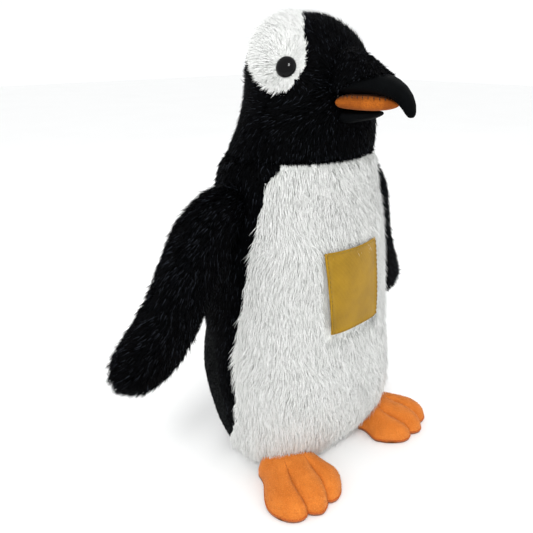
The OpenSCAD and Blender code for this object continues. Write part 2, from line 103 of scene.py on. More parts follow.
def smoothRow(rows, t):
    # value of a table of stations at t, on a smooth curve through them
    rows = np.asarray(rows, float)
    last = len(rows) - 1
    i = int(np.clip(np.searchsorted(rows[:, 0], t, side="right") - 1, 0, last - 1))
    a, b, c, d = rows[max(i - 1, 0)], rows[i], rows[i + 1], rows[min(i + 2, last)]
    u = float(np.clip((t - b[0]) / (c[0] - b[0]), 0, 1))
    curve = 2 * b + (c - a) * u + (2 * a - 5 * b + 4 * c - d) * u * u + (3 * b - a - 3 * c + d) * u ** 3
    return 0.5 * curve


def meshArrays(obj):
    mesh = obj.data
    mesh.calc_loop_triangles()
    points = np.empty(len(mesh.vertices) * 3)
    mesh.vertices.foreach_get("co", points)
    triangles = np.empty(len(mesh.loop_triangles) * 3, np.int32)
    mesh.loop_triangles.foreach_get("vertices", triangles)
    return points.reshape(-1, 3), triangles.reshape(-1, 3)


def surfaceOf(objects):
    # one search tree over several meshes
    points, triangles, start = [], [], 0
    for obj in objects:
        p, t = meshArrays(obj)
        points.append(p)
        triangles.append(t + start)
        start += len(p)
    return BVHTree.FromPolygons(np.concatenate(points).tolist(), np.concatenate(triangles).tolist())


def makeMesh(name, points, faces, materials, smooth=True, faceSlot=None):
    mesh = bpy.data.meshes.new(name)
    mesh.from_pydata([tuple(p) for p in points], [], [tuple(int(i) for i in f) for f in faces])
    mesh.update()
    for material in materials:
        mesh.materials.append(material)
    if smooth:
        mesh.polygons.foreach_set("use_smooth", [True] * len(mesh.polygons))
    if faceSlot is not None:
        mesh.polygons.foreach_set("material_index", [int(i) for i in faceSlot])
    obj = bpy.data.objects.new(name, mesh)
    scene.collection.objects.link(obj)
    return obj


def faceOutward(obj):
    # turns a closed mesh right side out, by the sign of its volume
    points, triangles = meshArrays(obj)
    a, b, c = (points[triangles[:, i]] for i in range(3))
    if (a * np.cross(b, c)).sum() < 0:
        obj.data.flip_normals()
    return obj


def ringsToFaces(rings, around, capLow=True, capHigh=True):
    # faces of a tube of point rings, with a fan to one extra point at each closed end
    faces = []
    for i in range(rings - 1):
        for j in range(around):
            a, b = i * around + j, i * around + (j + 1) % around
            faces.append((a, b, b + around, a + around))
    count = rings * around
    if capLow:
        faces += [(count, (j + 1) % around, j) for j in range(around)]
        count += 1
    if capHigh:
        top = (rings - 1) * around
        faces += [(count, top + j, top + (j + 1) % around) for j in range(around)]
    return faces


def sheetFaces(rows, wide):
    # faces of a front grid, the back grid after it and the rim between them, and the rim's points
    count = rows * wide
    faces = []
    for i in range(rows - 1):
        for j in range(wide - 1):
            a = i * wide + j
            faces.append((a, a + 1, a + 1 + wide, a + wide))
            faces.append((a + count, a + wide + count, a + 1 + wide + count, a + 1 + count))
    rim = list(range(wide)) + [i * wide + wide - 1 for i in range(1, rows)]
    rim += [(rows - 1) * wide + j for j in range(wide - 2, -1, -1)]
    rim += [i * wide for i in range(rows - 2, 0, -1)]
    faces += [(b, a, a + count, b + count) for a, b in zip(rim, rim[1:] + rim[:1])]
    return faces, rim


def tubes(name, paths, radius, material, sides=6, taper=0.5):
    # closed round tubes along lists of points, such as stitches and welts
    points, faces = [], []
    for path in paths:
        path = np.asarray(path, float)
        ahead = np.gradient(path, axis=0)
        ahead /= np.linalg.norm(ahead, axis=1)[:, None] + 1e-12
        side = np.cross(ahead, [0.31, 0.17, 0.93])
        side /= np.linalg.norm(side, axis=1)[:, None] + 1e-12
        up = np.cross(side, ahead)
        share = np.linspace(0, 1, len(path))
        r = radius * (1 - (1 - taper) * np.abs(2 * share - 1) ** 6)
        turn = np.arange(sides) * 2 * math.pi / sides
        ring = path[:, None] + r[:, None, None] * (
            np.cos(turn)[None, :, None] * side[:, None] + np.sin(turn)[None, :, None] * up[:, None])
        start = len(points)
        points += list(ring.reshape(-1, 3)) + [path[0], path[-1]]
        faces += [tuple(i + start for i in f) for f in ringsToFaces(len(path), sides)]
    return faceOutward(makeMesh(name, points, faces, [material]))


def smoothMesh(obj, rounds, factor=0.5):
    modifier = obj.modifiers.new("relax", "SMOOTH")
    modifier.iterations = rounds
    modifier.factor = factor
    bakeModifiers(obj)


def subdivide(obj, levels=1):
    modifier = obj.modifiers.new("finer", "SUBSURF")
    modifier.levels = levels
    modifier.render_levels = levels
    bakeModifiers(obj)


def bakeModifiers(obj):
    # the modified mesh becomes the object's own mesh
    bpy.context.view_layer.update()
    ready = obj.evaluated_get(bpy.context.evaluated_depsgraph_get())
    mesh = bpy.data.meshes.new_from_object(ready)
    obj.modifiers.clear()
    old = obj.data
    obj.data = mesh
    bpy.data.meshes.remove(old)


def inflate(obj, seamPoints, pressure, cap, frames=20):
    # the fabric is puffed out by its filling as cloth, and held along its seams
    group = obj.vertex_groups.new(name="seam")
    group.add([int(i) for i in seamPoints], 1.0, "REPLACE")
    rest = np.array([v.co for v in obj.data.vertices])
    modifier = obj.modifiers.new("filling", "CLOTH")
    modifier.settings.vertex_group_mass = "seam"
    modifier.settings.use_pressure = True
    modifier.settings.uniform_pressure_force = pressure
    modifier.settings.effector_weights.gravity = 0
    modifier.collision_settings.use_collision = False
    modifier.point_cache.frame_start = 1
    modifier.point_cache.frame_end = frames
    for step in range(1, frames + 1):
        scene.frame_set(step)
    bakeModifiers(obj)
    scene.frame_set(1)
    moved = np.array([v.co for v in obj.data.vertices]) - rest
    size = np.linalg.norm(moved, axis=1)
    moved *= np.minimum(1, cap / np.maximum(size, 1e-9))[:, None]
    obj.data.vertices.foreach_set("co", (rest + moved).ravel())
    obj.data.update()
    obj.vertex_groups.clear()
    print("  filled", obj.name, "moved up to %.2f mm" % (min(size.max(), cap) / mm))


# materials
def pileTones(name, colours, roughness, sheen, gloss):
    # acrylic-polyester pile fibre, spun and brushed: each lock is one flat tone, so the pile shows as
    # streaks; the first, darkest colour of each list goes on the root part of locks as painted shade deep in
    # the pile
    tones = []
    for i, colour in enumerate(colours):
        material, _, _ = startMaterial(f"{name}_{i}", **{
            "Base Color": hexColour(colour), "Roughness": roughness, "IOR": 1.5,
            "Sheen Weight": sheen, "Sheen Roughness": 0.4, "Specular IOR Level": gloss})
        tones.append(material)
    return tones


def fabricMaterial(name, dark, light, grain, roughness, sheen, bump, streak=1.0, gloss=0.3):
    # cloth whose surface is fine fibre: two tones broken up at the grain, with bump and a soft sheen
    material, tree, shader = startMaterial(name, **{
        "Sheen Weight": sheen, "Sheen Roughness": 0.45, "IOR": 1.5, "Specular IOR Level": gloss})
    where = addNode(tree, "ShaderNodeTexCoord").outputs["Object"]
    stretched = addNode(tree, "ShaderNodeMapping", {"Vector": where, "Scale": (1, 1, streak)})
    fine = addNode(tree, "ShaderNodeTexNoise", {
        "Vector": stretched.outputs["Vector"], "Scale": 1 / grain, "Detail": 3.0, "Roughness": 0.6})
    broad = addNode(tree, "ShaderNodeTexNoise", {"Vector": where, "Scale": 0.06 / grain, "Detail": 2.0})
    mixed = addNode(tree, "ShaderNodeMath", {0: fine.outputs["Fac"], 1: broad.outputs["Fac"]},
                    operation="MULTIPLY")
    ramp = addNode(tree, "ShaderNodeValToRGB", {"Fac": mixed.outputs[0]})
    ramp.color_ramp.elements[0].position = 0.12
    ramp.color_ramp.elements[0].color = hexColour(dark)
    ramp.color_ramp.elements[1].position = 0.4
    ramp.color_ramp.elements[1].color = hexColour(light)
    rough = addNode(tree, "ShaderNodeMapRange", {
        "Value": fine.outputs["Fac"], "To Min": roughness - 0.08, "To Max": roughness + 0.08})
    height = addNode(tree, "ShaderNodeBump", {
        "Height": fine.outputs["Fac"], "Strength": bump, "Distance": grain * 0.6})
    tree.links.new(ramp.outputs["Color"], shader.inputs["Base Color"])
    tree.links.new(rough.outputs[0], shader.inputs["Roughness"])
    tree.links.new(height.outputs[0], shader.inputs["Normal"])
    return material


# the pile is about 0.05 mm fibre in locks; the locks are drawn about 0.5 mm wide so that they show
# first colour of each list: the darker root tone, painted shade deep in the pile
whitePile = pileTones("acrylic_plush_white_brushed",
                      ["#dcdeda", "#f4f5f2", "#eceeea", "#f9f9f7", "#e6e8e5"], 0.7, 0.2, 0.35)
# the last black colour, a grey for scattered locks, is a painted highlight standing for the shine of the
# fibres
blackPile = pileTones("acrylic_plush_black_brushed",
                      ["#000001", "#020203", "#030405", "#06070a", "#25282e"], 0.55, 0.0, 0.035)
orangePile = pileTones("polyester_velour_orange_nap",
                       ["#d67a26", "#ea8b36", "#e38430", "#f09642", "#f6a858"], 0.8, 0.1, 0.3)

# knitted backing and shorn cloths: dark tone, light tone, grain, roughness, sheen, bump, streak, gloss.
# Velboa and velour are shorn level, so they read as even with fine grain; microsuede is napped, so it
# is matt and cloudy where it is stroked; carded fill is loose and coarse; ribbon and pouch are thin and plain
clothPlan = {
    "polyester_plush_white_knitted": ("#d6d8d4", "#f2f3f0", 1.2 * mm, 0.75, 0.3, 0.5, 0.25),
    "polyester_plush_black_knitted": ("#000001", "#030405", 1.2 * mm, 0.7, 0.0, 0.5, 0.25, 0.03),
    "polyester_velboa_black_shorn": ("#030505", "#0b0f0f", 0.9 * mm, 0.75, 0.01, 0.35, 1.0, 0.05),
    "polyester_velour_orange_brushed": ("#cf6f1e", "#ea8a34", 0.8 * mm, 0.85, 0.15, 0.5),
    # the sole is drawn a darker brown than the top: painted shade under the foot
    "polyester_velour_sole_painted_shade": ("#7a4016", "#a35a20", 0.8 * mm, 0.85, 0.2, 0.4),
    "polyester_microsuede_orange_napped": ("#85420f", "#b8641a", 0.7 * mm, 0.85, 0.05, 0.5, 1.0, 0.15),
    "polyester_microsuede_black_napped": ("#020304", "#07090b", 0.7 * mm, 0.7, 0.0, 0.4, 1.0, 0.04),
    "polyester_fibre_fill_carded": ("#d9d6cd", "#f6f4ee", 2.5 * mm, 0.9, 0.3, 0.8),
    "polypropylene_pouch_spunbonded": ("#bdb8aa", "#dedace", 1.0 * mm, 0.8, 0.1, 0.4),
    "polyester_satin_ribbon_white_woven": ("#dcdcd4", "#f6f6f0", 0.5 * mm, 0.45, 0.1, 0.15),
}
(whiteBacking, blackBacking, blackVelboa, orangeVelour, soleShadeVelour, orangeSuede, blackSuede,
 fibreFill, pouchCloth, careRibbon) = [fabricMaterial(name, *values) for name, values in clothPlan.items()]


def satinMaterial(name, dark, light, pitch):
    # woven satin: long floats across the weave give a soft shine; threads are 0.25 mm, drawn wider to show
    material, tree, shader = startMaterial(name, **{
        "IOR": 1.5, "Specular IOR Level": 0.16, "Sheen Weight": 0.03, "Anisotropic": 0.3})
    where = addNode(tree, "ShaderNodeTexCoord").outputs["Object"]
    across = addNode(tree, "ShaderNodeTexWave", {"Vector": where, "Scale": 0.31 / pitch, "Distortion": 0.6},
                     bands_direction="X")
    along = addNode(tree, "ShaderNodeTexWave", {"Vector": where, "Scale": 0.31 / pitch, "Distortion": 0.6},
                    bands_direction="Z")
    weave = addNode(tree, "ShaderNodeMath", {0: across.outputs["Fac"], 1: along.outputs["Fac"]},
                    operation="MULTIPLY")
    cloud = addNode(tree, "ShaderNodeTexNoise", {"Vector": where, "Scale": 60.0, "Detail": 3.0})
    both = addNode(tree, "ShaderNodeMath", {0: weave.outputs[0], 1: cloud.outputs["Fac"]}, operation="ADD")
    ramp = addNode(tree, "ShaderNodeValToRGB", {"Fac": both.outputs[0]})
    ramp.color_ramp.elements[0].position = 0.35
    ramp.color_ramp.elements[0].color = hexColour(dark)
    ramp.color_ramp.elements[1].position = 1.0
    ramp.color_ramp.elements[1].color = hexColour(light)
    rough = addNode(tree, "ShaderNodeMapRange", {
        "Value": cloud.outputs["Fac"], "To Min": 0.34, "To Max": 0.55})
    height = addNode(tree, "ShaderNodeBump", {
        "Height": weave.outputs[0], "Strength": 0.25, "Distance": 0.15 * mm})
    tree.links.new(ramp.outputs["Color"], shader.inputs["Base Color"])
    tree.links.new(rough.outputs[0], shader.inputs["Roughness"])
    tree.links.new(height.outputs[0], shader.inputs["Normal"])
    return material


def plasticMaterial(name, dark, light, roughness, gloss=0.5):
    # moulded plastic: one even colour with a faint cloud, and tiny unevenness in the gloss
    material, tree, shader = startMaterial(name, **{"IOR": 1.49, "Specular IOR Level": gloss})
    where = addNode(tree, "ShaderNodeTexCoord").outputs["Object"]
    cloud = addNode(tree, "ShaderNodeTexNoise", {"Vector": where, "Scale": 300.0, "Detail": 2.0})
    ramp = addNode(tree, "ShaderNodeValToRGB", {"Fac": cloud.outputs["Fac"]})
    ramp.color_ramp.elements[0].color = hexColour(dark)
    ramp.color_ramp.elements[1].color = hexColour(light)
    rough = addNode(tree, "ShaderNodeMapRange", {
        "Value": cloud.outputs["Fac"], "To Min": roughness, "To Max": roughness * 1.6})
    tree.links.new(ramp.outputs["Color"], shader.inputs["Base Color"])
    tree.links.new(rough.outputs[0], shader.inputs["Roughness"])
    return material


goldSatin = satinMaterial("polyester_satin_gold_woven", "#7a5b0c", "#ab841c", 0.8 * mm)
goldThread = plasticMaterial("polyester_thread_gold_spun", "#7d6212", "#9a7a1c", 0.5)
darkThread = plasticMaterial("polyester_thread_dark_spun", "#1c120c", "#33241a", 0.6)
orangeThread = plasticMaterial("polyester_thread_orange_spun", "#a84e12", "#c8641e", 0.65)
eyePlastic = plasticMaterial("acrylic_black_polished", "#010101", "#020203", 0.03, 0.16)
washerPlastic = plasticMaterial("polyethylene_white_moulded", "#dcd9cf", "#eceae2", 0.4)
pelletPlastic = plasticMaterial("polyethylene_pellets_cut", "#b9bdc2", "#d6dade", 0.35)
print("materials made")

# CAD nodes that stay, inside the toy

stayingNodes = {
    "torso_stuffing": fibreFill, "head_stuffing": fibreFill, "beak_stuffing": fibreFill,
    "bean_pouch": pouchCloth, "bean_pellets": pelletPlastic,
    "eye_washer_right": washerPlastic, "eye_washer_left": washerPlastic,
    "care_label": careRibbon,
}
for nodeName, material in stayingNodes.items():
    nodes[nodeName].data.materials.clear()
    nodes[nodeName].data.materials.append(material)

# skins: the sewn fabric under the pile

torsoPlan = {"rows": 60, "around": 112, "low": 2.6 * mm, "high": 216.2 * mm, "axisY": 3 * mm, "baseRings": 5,
             # where the filling pushes the fabric out: degrees from the front, height, both spreads, how far
             "bulges": [(-132, 75, 40, 38, 2.2), (50, 30, 38, 30, 3.8), (-140, 200, 75, 17, 3.2)]}
headPlan = {"wallRows": 16, "domeRows": 22, "around": 96, "low": 218.2 * mm, "domeFrom": 258 * mm,
            "axisY": -3 * mm}
farOut = 0.25


def castRadius(tree, centre, outward):
    hit = tree.ray_cast(centre + outward * farOut, -outward, farOut)
    return (hit[0] - centre).length if hit[0] is not None else float("nan")


def cleanRadii(radii):
    # rays that fall in a seam gap read short: the larger of the value and its neighbours' middle is kept
    stack = np.stack([np.roll(radii, s, axis=1) for s in (-3, -2, -1, 1, 2, 3)])
    middle = np.nanmedian(stack, axis=0)
    out = np.where(np.isnan(radii), middle, np.fmax(radii, middle))
    upDown = np.stack([np.roll(out, s, axis=0)[2:-2] for s in (-2, -1, 1, 2)])
    out[2:-2] = np.where(np.isnan(out[2:-2]), np.nanmedian(upDown, axis=0), out[2:-2])
    for i in list(range(1, len(out))) + list(range(len(out) - 2, -1, -1)):
        other = out[i - 1] if i and not np.isnan(out[i - 1]).any() else out[min(i + 1, len(out) - 1)]
        out[i] = np.where(np.isnan(out[i]), other, out[i])
    for _ in range(2):
        out = (out * 2 + np.roll(out, 1, axis=1) + np.roll(out, -1, axis=1)) / 4
        inner = (out[2:] + out[:-2] + 2 * out[1:-1]) / 4
        out[1:-1] = inner
    return out


def turnVector(angle):
    # 0 is the front of the toy and 90 degrees is its left side
    return Vector((math.sin(angle), -math.cos(angle), 0))


def makeTorsoSkin():
    plan = torsoPlan
    names = ["belly_panel", "back_panel_right", "back_panel_left", "seat_panel"]
    tree = surfaceOf([nodes[n] for n in names])
    heights = np.linspace(plan["low"], plan["high"], plan["rows"])
    angles = np.arange(plan["around"]) * 2 * math.pi / plan["around"]
    radii = np.array([[castRadius(tree, Vector((0, plan["axisY"], z)), turnVector(a)) for a in angles]
                      for z in heights])
    radii = cleanRadii(radii)
    for degrees, height, wide, tall, size in plan["bulges"]:
        off = (np.degrees(angles) - degrees + 180) % 360 - 180
        radii += size * mm * np.exp(-(off[None] / wide) ** 2 - ((heights[:, None] / mm - height) / tall) ** 2)
    points = []
    for i in range(plan["baseRings"]):  # flat base, from the middle to the hem
        share = 0.3 + 0.66 * i / (plan["baseRings"] - 1)
        points += [Vector((0, plan["axisY"], 0)) + turnVector(a) * r * share
                   for a, r in zip(angles, radii[0])]
    for z, row in zip(heights, radii):
        points += [Vector((0, plan["axisY"], z)) + turnVector(a) * r for a, r in zip(angles, row)]
    points += [Vector((0, plan["axisY"], 0)), Vector((0, plan["axisY"], plan["high"] - 3 * mm))]
    rings = plan["rows"] + plan["baseRings"]
    faces = ringsToFaces(rings, plan["around"])
    zones = [surfaceOf([nodes[n]]) for n in names]
    slotOf = {0: 0, 1: 1, 2: 1, 3: 2}
    slots = []
    for face in faces:
        middle = sum((Vector(points[i]) for i in face), Vector()) / len(face)
        if middle.z < 1.5 * mm:
            slots.append(2)
            continue
        near = [zone.find_nearest(middle)[3] for zone in zones]
        slots.append(slotOf[int(np.argmin(near))])
    return faceOutward(makeMesh("torso_skin", points, faces, [whiteBacking, blackBacking, blackVelboa],
                                faceSlot=slots))


def makeHeadSkin():
    plan = headPlan
    tree = surfaceOf([nodes[n] for n in ("face_panel", "head_band", "nape_panel_right", "nape_panel_left")])
    angles = np.arange(plan["around"]) * 2 * math.pi / plan["around"]
    rows = []
    for z in np.linspace(plan["low"], plan["domeFrom"], plan["wallRows"], endpoint=False):
        rows.append((Vector((0, plan["axisY"], z)), [turnVector(a) for a in angles]))
    for tilt in np.linspace(0, math.radians(86), plan["domeRows"]):
        centre = Vector((0, plan["axisY"], plan["domeFrom"]))
        rise = Vector((0, 0, math.sin(tilt)))
        rows.append((centre, [turnVector(a) * math.cos(tilt) + rise for a in angles]))
    radii = np.array([[castRadius(tree, c, d) for d in directions] for c, directions in rows])
    radii = cleanRadii(radii)
    points = [c + d * r for (c, directions), row in zip(rows, radii) for d, r in zip(directions, row)]
    crown = castRadius(tree, rows[-1][0], Vector((0, 0, 1)))
    if math.isnan(crown):
        crown = radii[-1].mean()
    points += [Vector((0, plan["axisY"], plan["low"] + 3 * mm)),
               rows[-1][0] + Vector((0, 0, max(crown, radii[-1].mean())))]
    faces = ringsToFaces(len(rows), plan["around"])
    return faceOutward(makeMesh("head_skin", points, faces, [blackBacking, whiteBacking]))


torsoSkin = makeTorsoSkin()
held = {v for face in torsoSkin.data.polygons
        if face.center.z < 4 * mm or face.center.z > 212 * mm for v in face.vertices}
zoneOf = {}
for face in torsoSkin.data.polygons:
    for v in face.vertices:
        zoneOf.setdefault(v, set()).add(face.material_index)
held |= {v for v, found in zoneOf.items() if len(found) > 1}  # the seams between the fabrics
inflate(torsoSkin, sorted(held), 4.0, 3 * mm)
headSkin = makeHeadSkin()
bandTree = surfaceOf([nodes["head_band"]])
otherTree = surfaceOf([nodes[n] for n in ("face_panel", "nape_panel_right", "nape_panel_left")])
print("torso and head skins made")

# flipper pattern from its hinge, in mm: share, outward, up, half width
flipperPlan = {
    "stations": [
        [0, -15.5, 1.8, 9], [0.03, -11.8, 1.4, 10.8], [0.08, -7, -0.1, 12.8], [0.15, -0.2, -4.1, 16],
        [0.3, 11, -14.5, 18.6], [0.45, 21, -29.5, 18.4], [0.6, 31.5, -47.4, 18], [0.75, 43.6, -64.9, 18.7],
        [0.86, 55.8, -75.6, 17.6], [0.93, 64.2, -80.2, 14.6], [0.98, 71.2, -82.4, 9.8],
        [1, 75.2, -83.8, 4.4]],
    "halfThick": 7.2, "edge": 0.7, "rows": 44, "across": 12, "droop": {"right": 0, "left": 15},
}


def flipperPoint(plan, t, s, face):
    row = smoothRow(plan["stations"], t)
    d = smoothRow(plan["stations"], min(t + 0.05, 1)) - smoothRow(plan["stations"], max(t - 0.05, 0))
    n = np.array([-d[2], d[1]]) / math.hypot(d[1], d[2])
    bulge = (plan["halfThick"] - plan["edge"]) * max(1 - s * s, 0) ** 0.55 * float(fade(row[3] / 14))
    return np.array([row[1] + n[0] * s * row[3], -face * (plan["edge"] + bulge), row[2] + n[1] * s * row[3]])


def makeFlipperSkin(side):
    plan = flipperPlan
    sign = sideSign[side]
    hinge = np.array(joints[f"flipper_{side}_swing"]["pos_m"])
    angle = math.radians(plan["droop"][side])
    points = []
    for t in np.linspace(0, 1, plan["rows"]):
        ring = [flipperPoint(plan, t, s, 1) for s in np.linspace(-1, 1, plan["across"] + 1)]
        ring += [flipperPoint(plan, t, s, -1) for s in np.linspace(1, -1, plan["across"] + 1)]
        for p in ring:
            x, z = p[0], p[2]
            x, z = x * math.cos(angle) + z * math.sin(angle), -x * math.sin(angle) + z * math.cos(angle)
            points.append(hinge + np.array([sign * x, p[1], z]) * mm)
    around = 2 * (plan["across"] + 1)
    points += [np.mean(points[:around], axis=0), np.mean(points[-around:], axis=0)]
    faces = ringsToFaces(plan["rows"], around)
    if sign < 0:
        faces = [tuple(reversed(f)) for f in faces]
    skin = faceOutward(makeMesh(f"flipper_{side}_skin", points, faces, [blackBacking]))
    edges = (0, around - 1, plan["across"], plan["across"] + 1)
    seam = [i * around + j for i in range(plan["rows"]) for j in edges]
    seam += list(range(around)) + list(range(2 * around)) + [len(points) - 2, len(points) - 1]
    inflate(skin, sorted(set(seam)), 4.0, 2 * mm)
    return skin


flipperSkins = {side: makeFlipperSkin(side) for side in ("right", "left")}
print("flipper skins made")

# foot pattern, in mm, from the middle of its hem seam
footPlanSizes = {
    "width": (21, 29.5), "length": 39, "notch": 5.5, "high": 17.4, "sole": 2, "seamTurn": 19, "splay": 9,
    "drift": 5, "valley": 0.36, "rows": 30, "columns": 84, "rootHigh": 1.1, "tuck": 0.22,
}


def toeShape(s):
    return abs(math.cos(math.radians(270 * s))) ** 0.5


def footPoint(plan, s, q):
    w = plan["width"][0] + (plan["width"][1] - plan["width"][0]) * float(fade(q * 1.4))
    turn = math.radians(plan["seamTurn"] + (plan["splay"] - plan["seamTurn"]) * float(fade(q * 1.2)))
    splay = math.radians(plan["splay"])
    reach = plan["length"] * (1 - 0.1 * s * s) - plan["notch"] * (1 - toeShape(s)) + (1 - abs(s)) * 3
    across = w * s * (1 - 0.16 * max(q, 0) ** 6) + plan["drift"] * q
    along = q * reach
    side = max(1 - abs(s) ** 2.6, 0) ** 0.5
    tip = max(1 - max(q, 0) ** 3.4, 0) ** 0.5
    root = plan["rootHigh"] + (1 - plan["rootHigh"]) * float(fade(q * 2.2))
    valley = 1 - plan["valley"] * (1 - toeShape(s)) * float(fade((q - 0.15) * 2.5))
    z = plan["sole"] + 0.5 + (plan["high"] - plan["sole"]) * side * tip * root * valley
    return [across * math.cos(turn) + along * math.sin(splay),
            across * math.sin(turn) - along * math.cos(splay), z]


def makeFoot(side):
    plan = footPlanSizes
    sign = sideSign[side]
    hinge = np.array(joints[f"foot_{side}_flex"]["pos_m"]) * [1, 1, 0]
    shares = [-plan["tuck"] + (1 + plan["tuck"]) * (i / (plan["rows"] - 1)) ** 0.75
              for i in range(plan["rows"])]
    columns = np.linspace(-1, 1, plan["columns"] + 1)

    def place(p):
        return hinge + np.array([sign * p[0], p[1], p[2]]) * mm

    top = [[place(footPoint(plan, s, q)) for s in columns] for q in shares]
    points = [p for row in top for p in row]
    wide = len(columns)
    for row in top:  # the sole is the same outline, drawn in a little under the welt
        points += [np.array([p[0], p[1], 0.2 * mm]) for p in row]
    count = plan["rows"] * wide
    faces, rim = sheetFaces(plan["rows"], wide)
    if sign > 0:
        faces = [tuple(reversed(f)) for f in faces]
    # the sole faces take the darker brown velour, painted shade under the foot
    slots = [int(max(f) >= count) for f in faces]
    foot = faceOutward(makeMesh(f"foot_{side}_cover", points, faces, [orangeVelour, soleShadeVelour],
                                faceSlot=slots))
    groove = [i * wide + int(round((v + 1) / 2 * plan["columns"]))
              for i in range(plan["rows"]) for v in (-1 / 3, 1 / 3)]
    sewn = rim + groove + list(range(count, 2 * count)) + list(range(2 * wide))
    inflate(foot, sorted(set(sewn)), 4.0, 1.4 * mm)
    ends = [[place(footPoint(plan, s, q)) + np.array([0, 0, -0.1 * mm]) for q in np.linspace(0.18, 0.985, 30)]
            for s in (-1 / 3, 1 / 3)]
    creases = tubes(f"foot_{side}_toe_seams", ends, 0.45 * mm, orangeThread)
    welt = [place([*footPoint(plan, s, q)[:2], plan["sole"] + 0.4]) for s, q in
            [(1, q) for q in np.linspace(0.02, 0.97, 24)] + [(s, 1) for s in np.linspace(1, -1, 90)]
            + [(-1, q) for q in np.linspace(0.97, 0.02, 24)]]
    edge = tubes(f"foot_{side}_welt", [welt], 0.7 * mm, orangeThread)
    return foot, creases, edge


feet = {side: makeFoot(side) for side in ("right", "left")}
print("feet made")


# beak
def roundedCopy(name, nodeName, voxel, rounds, materials, grow=0.0):
    # a fabric form over a CAD solid: evened out and rounded
    obj = nodes[nodeName].copy()
    obj.data = nodes[nodeName].data.copy()
    obj.parent = None
    for key in list(obj.keys()):
        del obj[key]
    obj.name = name
    obj.data.name = name
    scene.collection.objects.link(obj)
    obj.data.materials.clear()
    remesh = obj.modifiers.new("even", "REMESH")
    remesh.mode = "VOXEL"
    remesh.voxel_size = voxel
    bakeModifiers(obj)
    smoothMesh(obj, rounds)
    if grow:
        normals = np.array([v.normal for v in obj.data.vertices])
        points = np.array([v.co for v in obj.data.vertices]) + normals * grow
        obj.data.vertices.foreach_set("co", points.ravel())
    subdivide(obj)
    obj.data.polygons.foreach_set("use_smooth", [True] * len(obj.data.polygons))
    for material in materials:
        obj.data.materials.append(material)
    return obj


upperBeak = roundedCopy("upper_beak_cover", "upper_beak", 0.9 * mm, 4, [blackSuede], 0.3 * mm)
lowerBeak = roundedCopy("lower_beak_cover", "lower_beak", 0.9 * mm, 3, [orangeSuede], 0.3 * mm)
chinGusset = roundedCopy("chin_gusset_cover", "chin_gusset", 0.9 * mm, 3, [blackSuede], 0.4 * mm)


def islandCentres(obj):
    # middle and long direction of each separate small solid in a node, such as each stitch
    points, triangles = meshArrays(obj)
    keys = np.round(points / (0.01 * mm)).astype(np.int64)
    _, same = np.unique(keys, axis=0, return_inverse=True)
    same = same.ravel()
    parent = np.arange(same.max() + 1)

    def top(i):
        while parent[i] != i:
            parent[i] = parent[parent[i]]
            i = parent[i]
        return i

    for a, b, c in same[triangles]:
        parent[top(b)] = top(a)
        parent[top(c)] = top(a)
    roots = np.array([top(i) for i in same])
    found = []
    for r in np.unique(roots):
        part = points[roots == r]
        middle = (part.max(0) + part.min(0)) / 2
        _, _, axes = np.linalg.svd(part - middle)
        half = np.abs((part - middle) @ axes[0]).max()
        found.append((middle, axes[0], half))
    return found


def threadStitches(name, nodeName, radius, bow, outward, material, size=1.0, rise=0.0):
    # each stitch is a short bowed thread that dips into the cloth at both ends
    paths = []
    for middle, along, half in islandCentres(nodes[nodeName]):
        out = outward(middle)
        share = np.linspace(-1, 1, 9)
        middle = middle + np.array([0, 0, rise])
        paths.append([middle + along * half * size * s + out * (bow * (1 - s * s) - radius) for s in share])
    return tubes(name, paths, radius, material)


def fromBeakAxis(p):
    out = np.array([p[0], 0.0, 0.0]) + [0, -0.2 * abs(p[0]), 0]
    return out / (np.linalg.norm(out) + 1e-9)


mouthStitches = threadStitches("mouth_stitches", "beak_stitches", 0.26 * mm, 0.3 * mm, fromBeakAxis,
                               darkThread, size=0.65, rise=1.2 * mm)

# plush pulled over the root of the beak: depth, top, half width, foot of the arch
bridgePlan = {
    "sections": [[0, -31, 281, 19, 256], [0.35, -40, 278.8, 20, 257.5], [0.6, -48, 274, 17.2, 262.3],
                 [0.8, -54, 270, 12.6, 264.8], [0.93, -57.6, 267.8, 8.6, 266], [1, -59.4, 266.6, 6, 266.2]],
    "rows": 16, "around": 24,
}


def makeBridge():
    plan = bridgePlan
    points = []
    for t in np.linspace(0, 1, plan["rows"]):
        _, y, topZ, w, low = smoothRow(plan["sections"], t)
        for a in np.linspace(0, 2 * math.pi, plan["around"], endpoint=False):
            x = w * math.copysign(abs(math.cos(a)) ** 0.9, math.cos(a))
            z = low + (topZ - low) * max(math.sin(a), 0) ** 1.6
            points.append(np.array([x, y, z]) * mm)
    points += [np.mean(points[:plan["around"]], axis=0), np.mean(points[-plan["around"]:], axis=0)]
    faces = [tuple(reversed(f)) for f in ringsToFaces(plan["rows"], plan["around"])]
    bridge = makeMesh("beak_bridge_skin", points, faces, [blackBacking])
    smoothMesh(bridge, 2)
    return faceOutward(bridge)


bridge = makeBridge()
print("beak made")

# eyes: domed safety eyes with a small rim

eyeRing = {"around": 56, "profile": 14, "rim": 0.35 * mm}


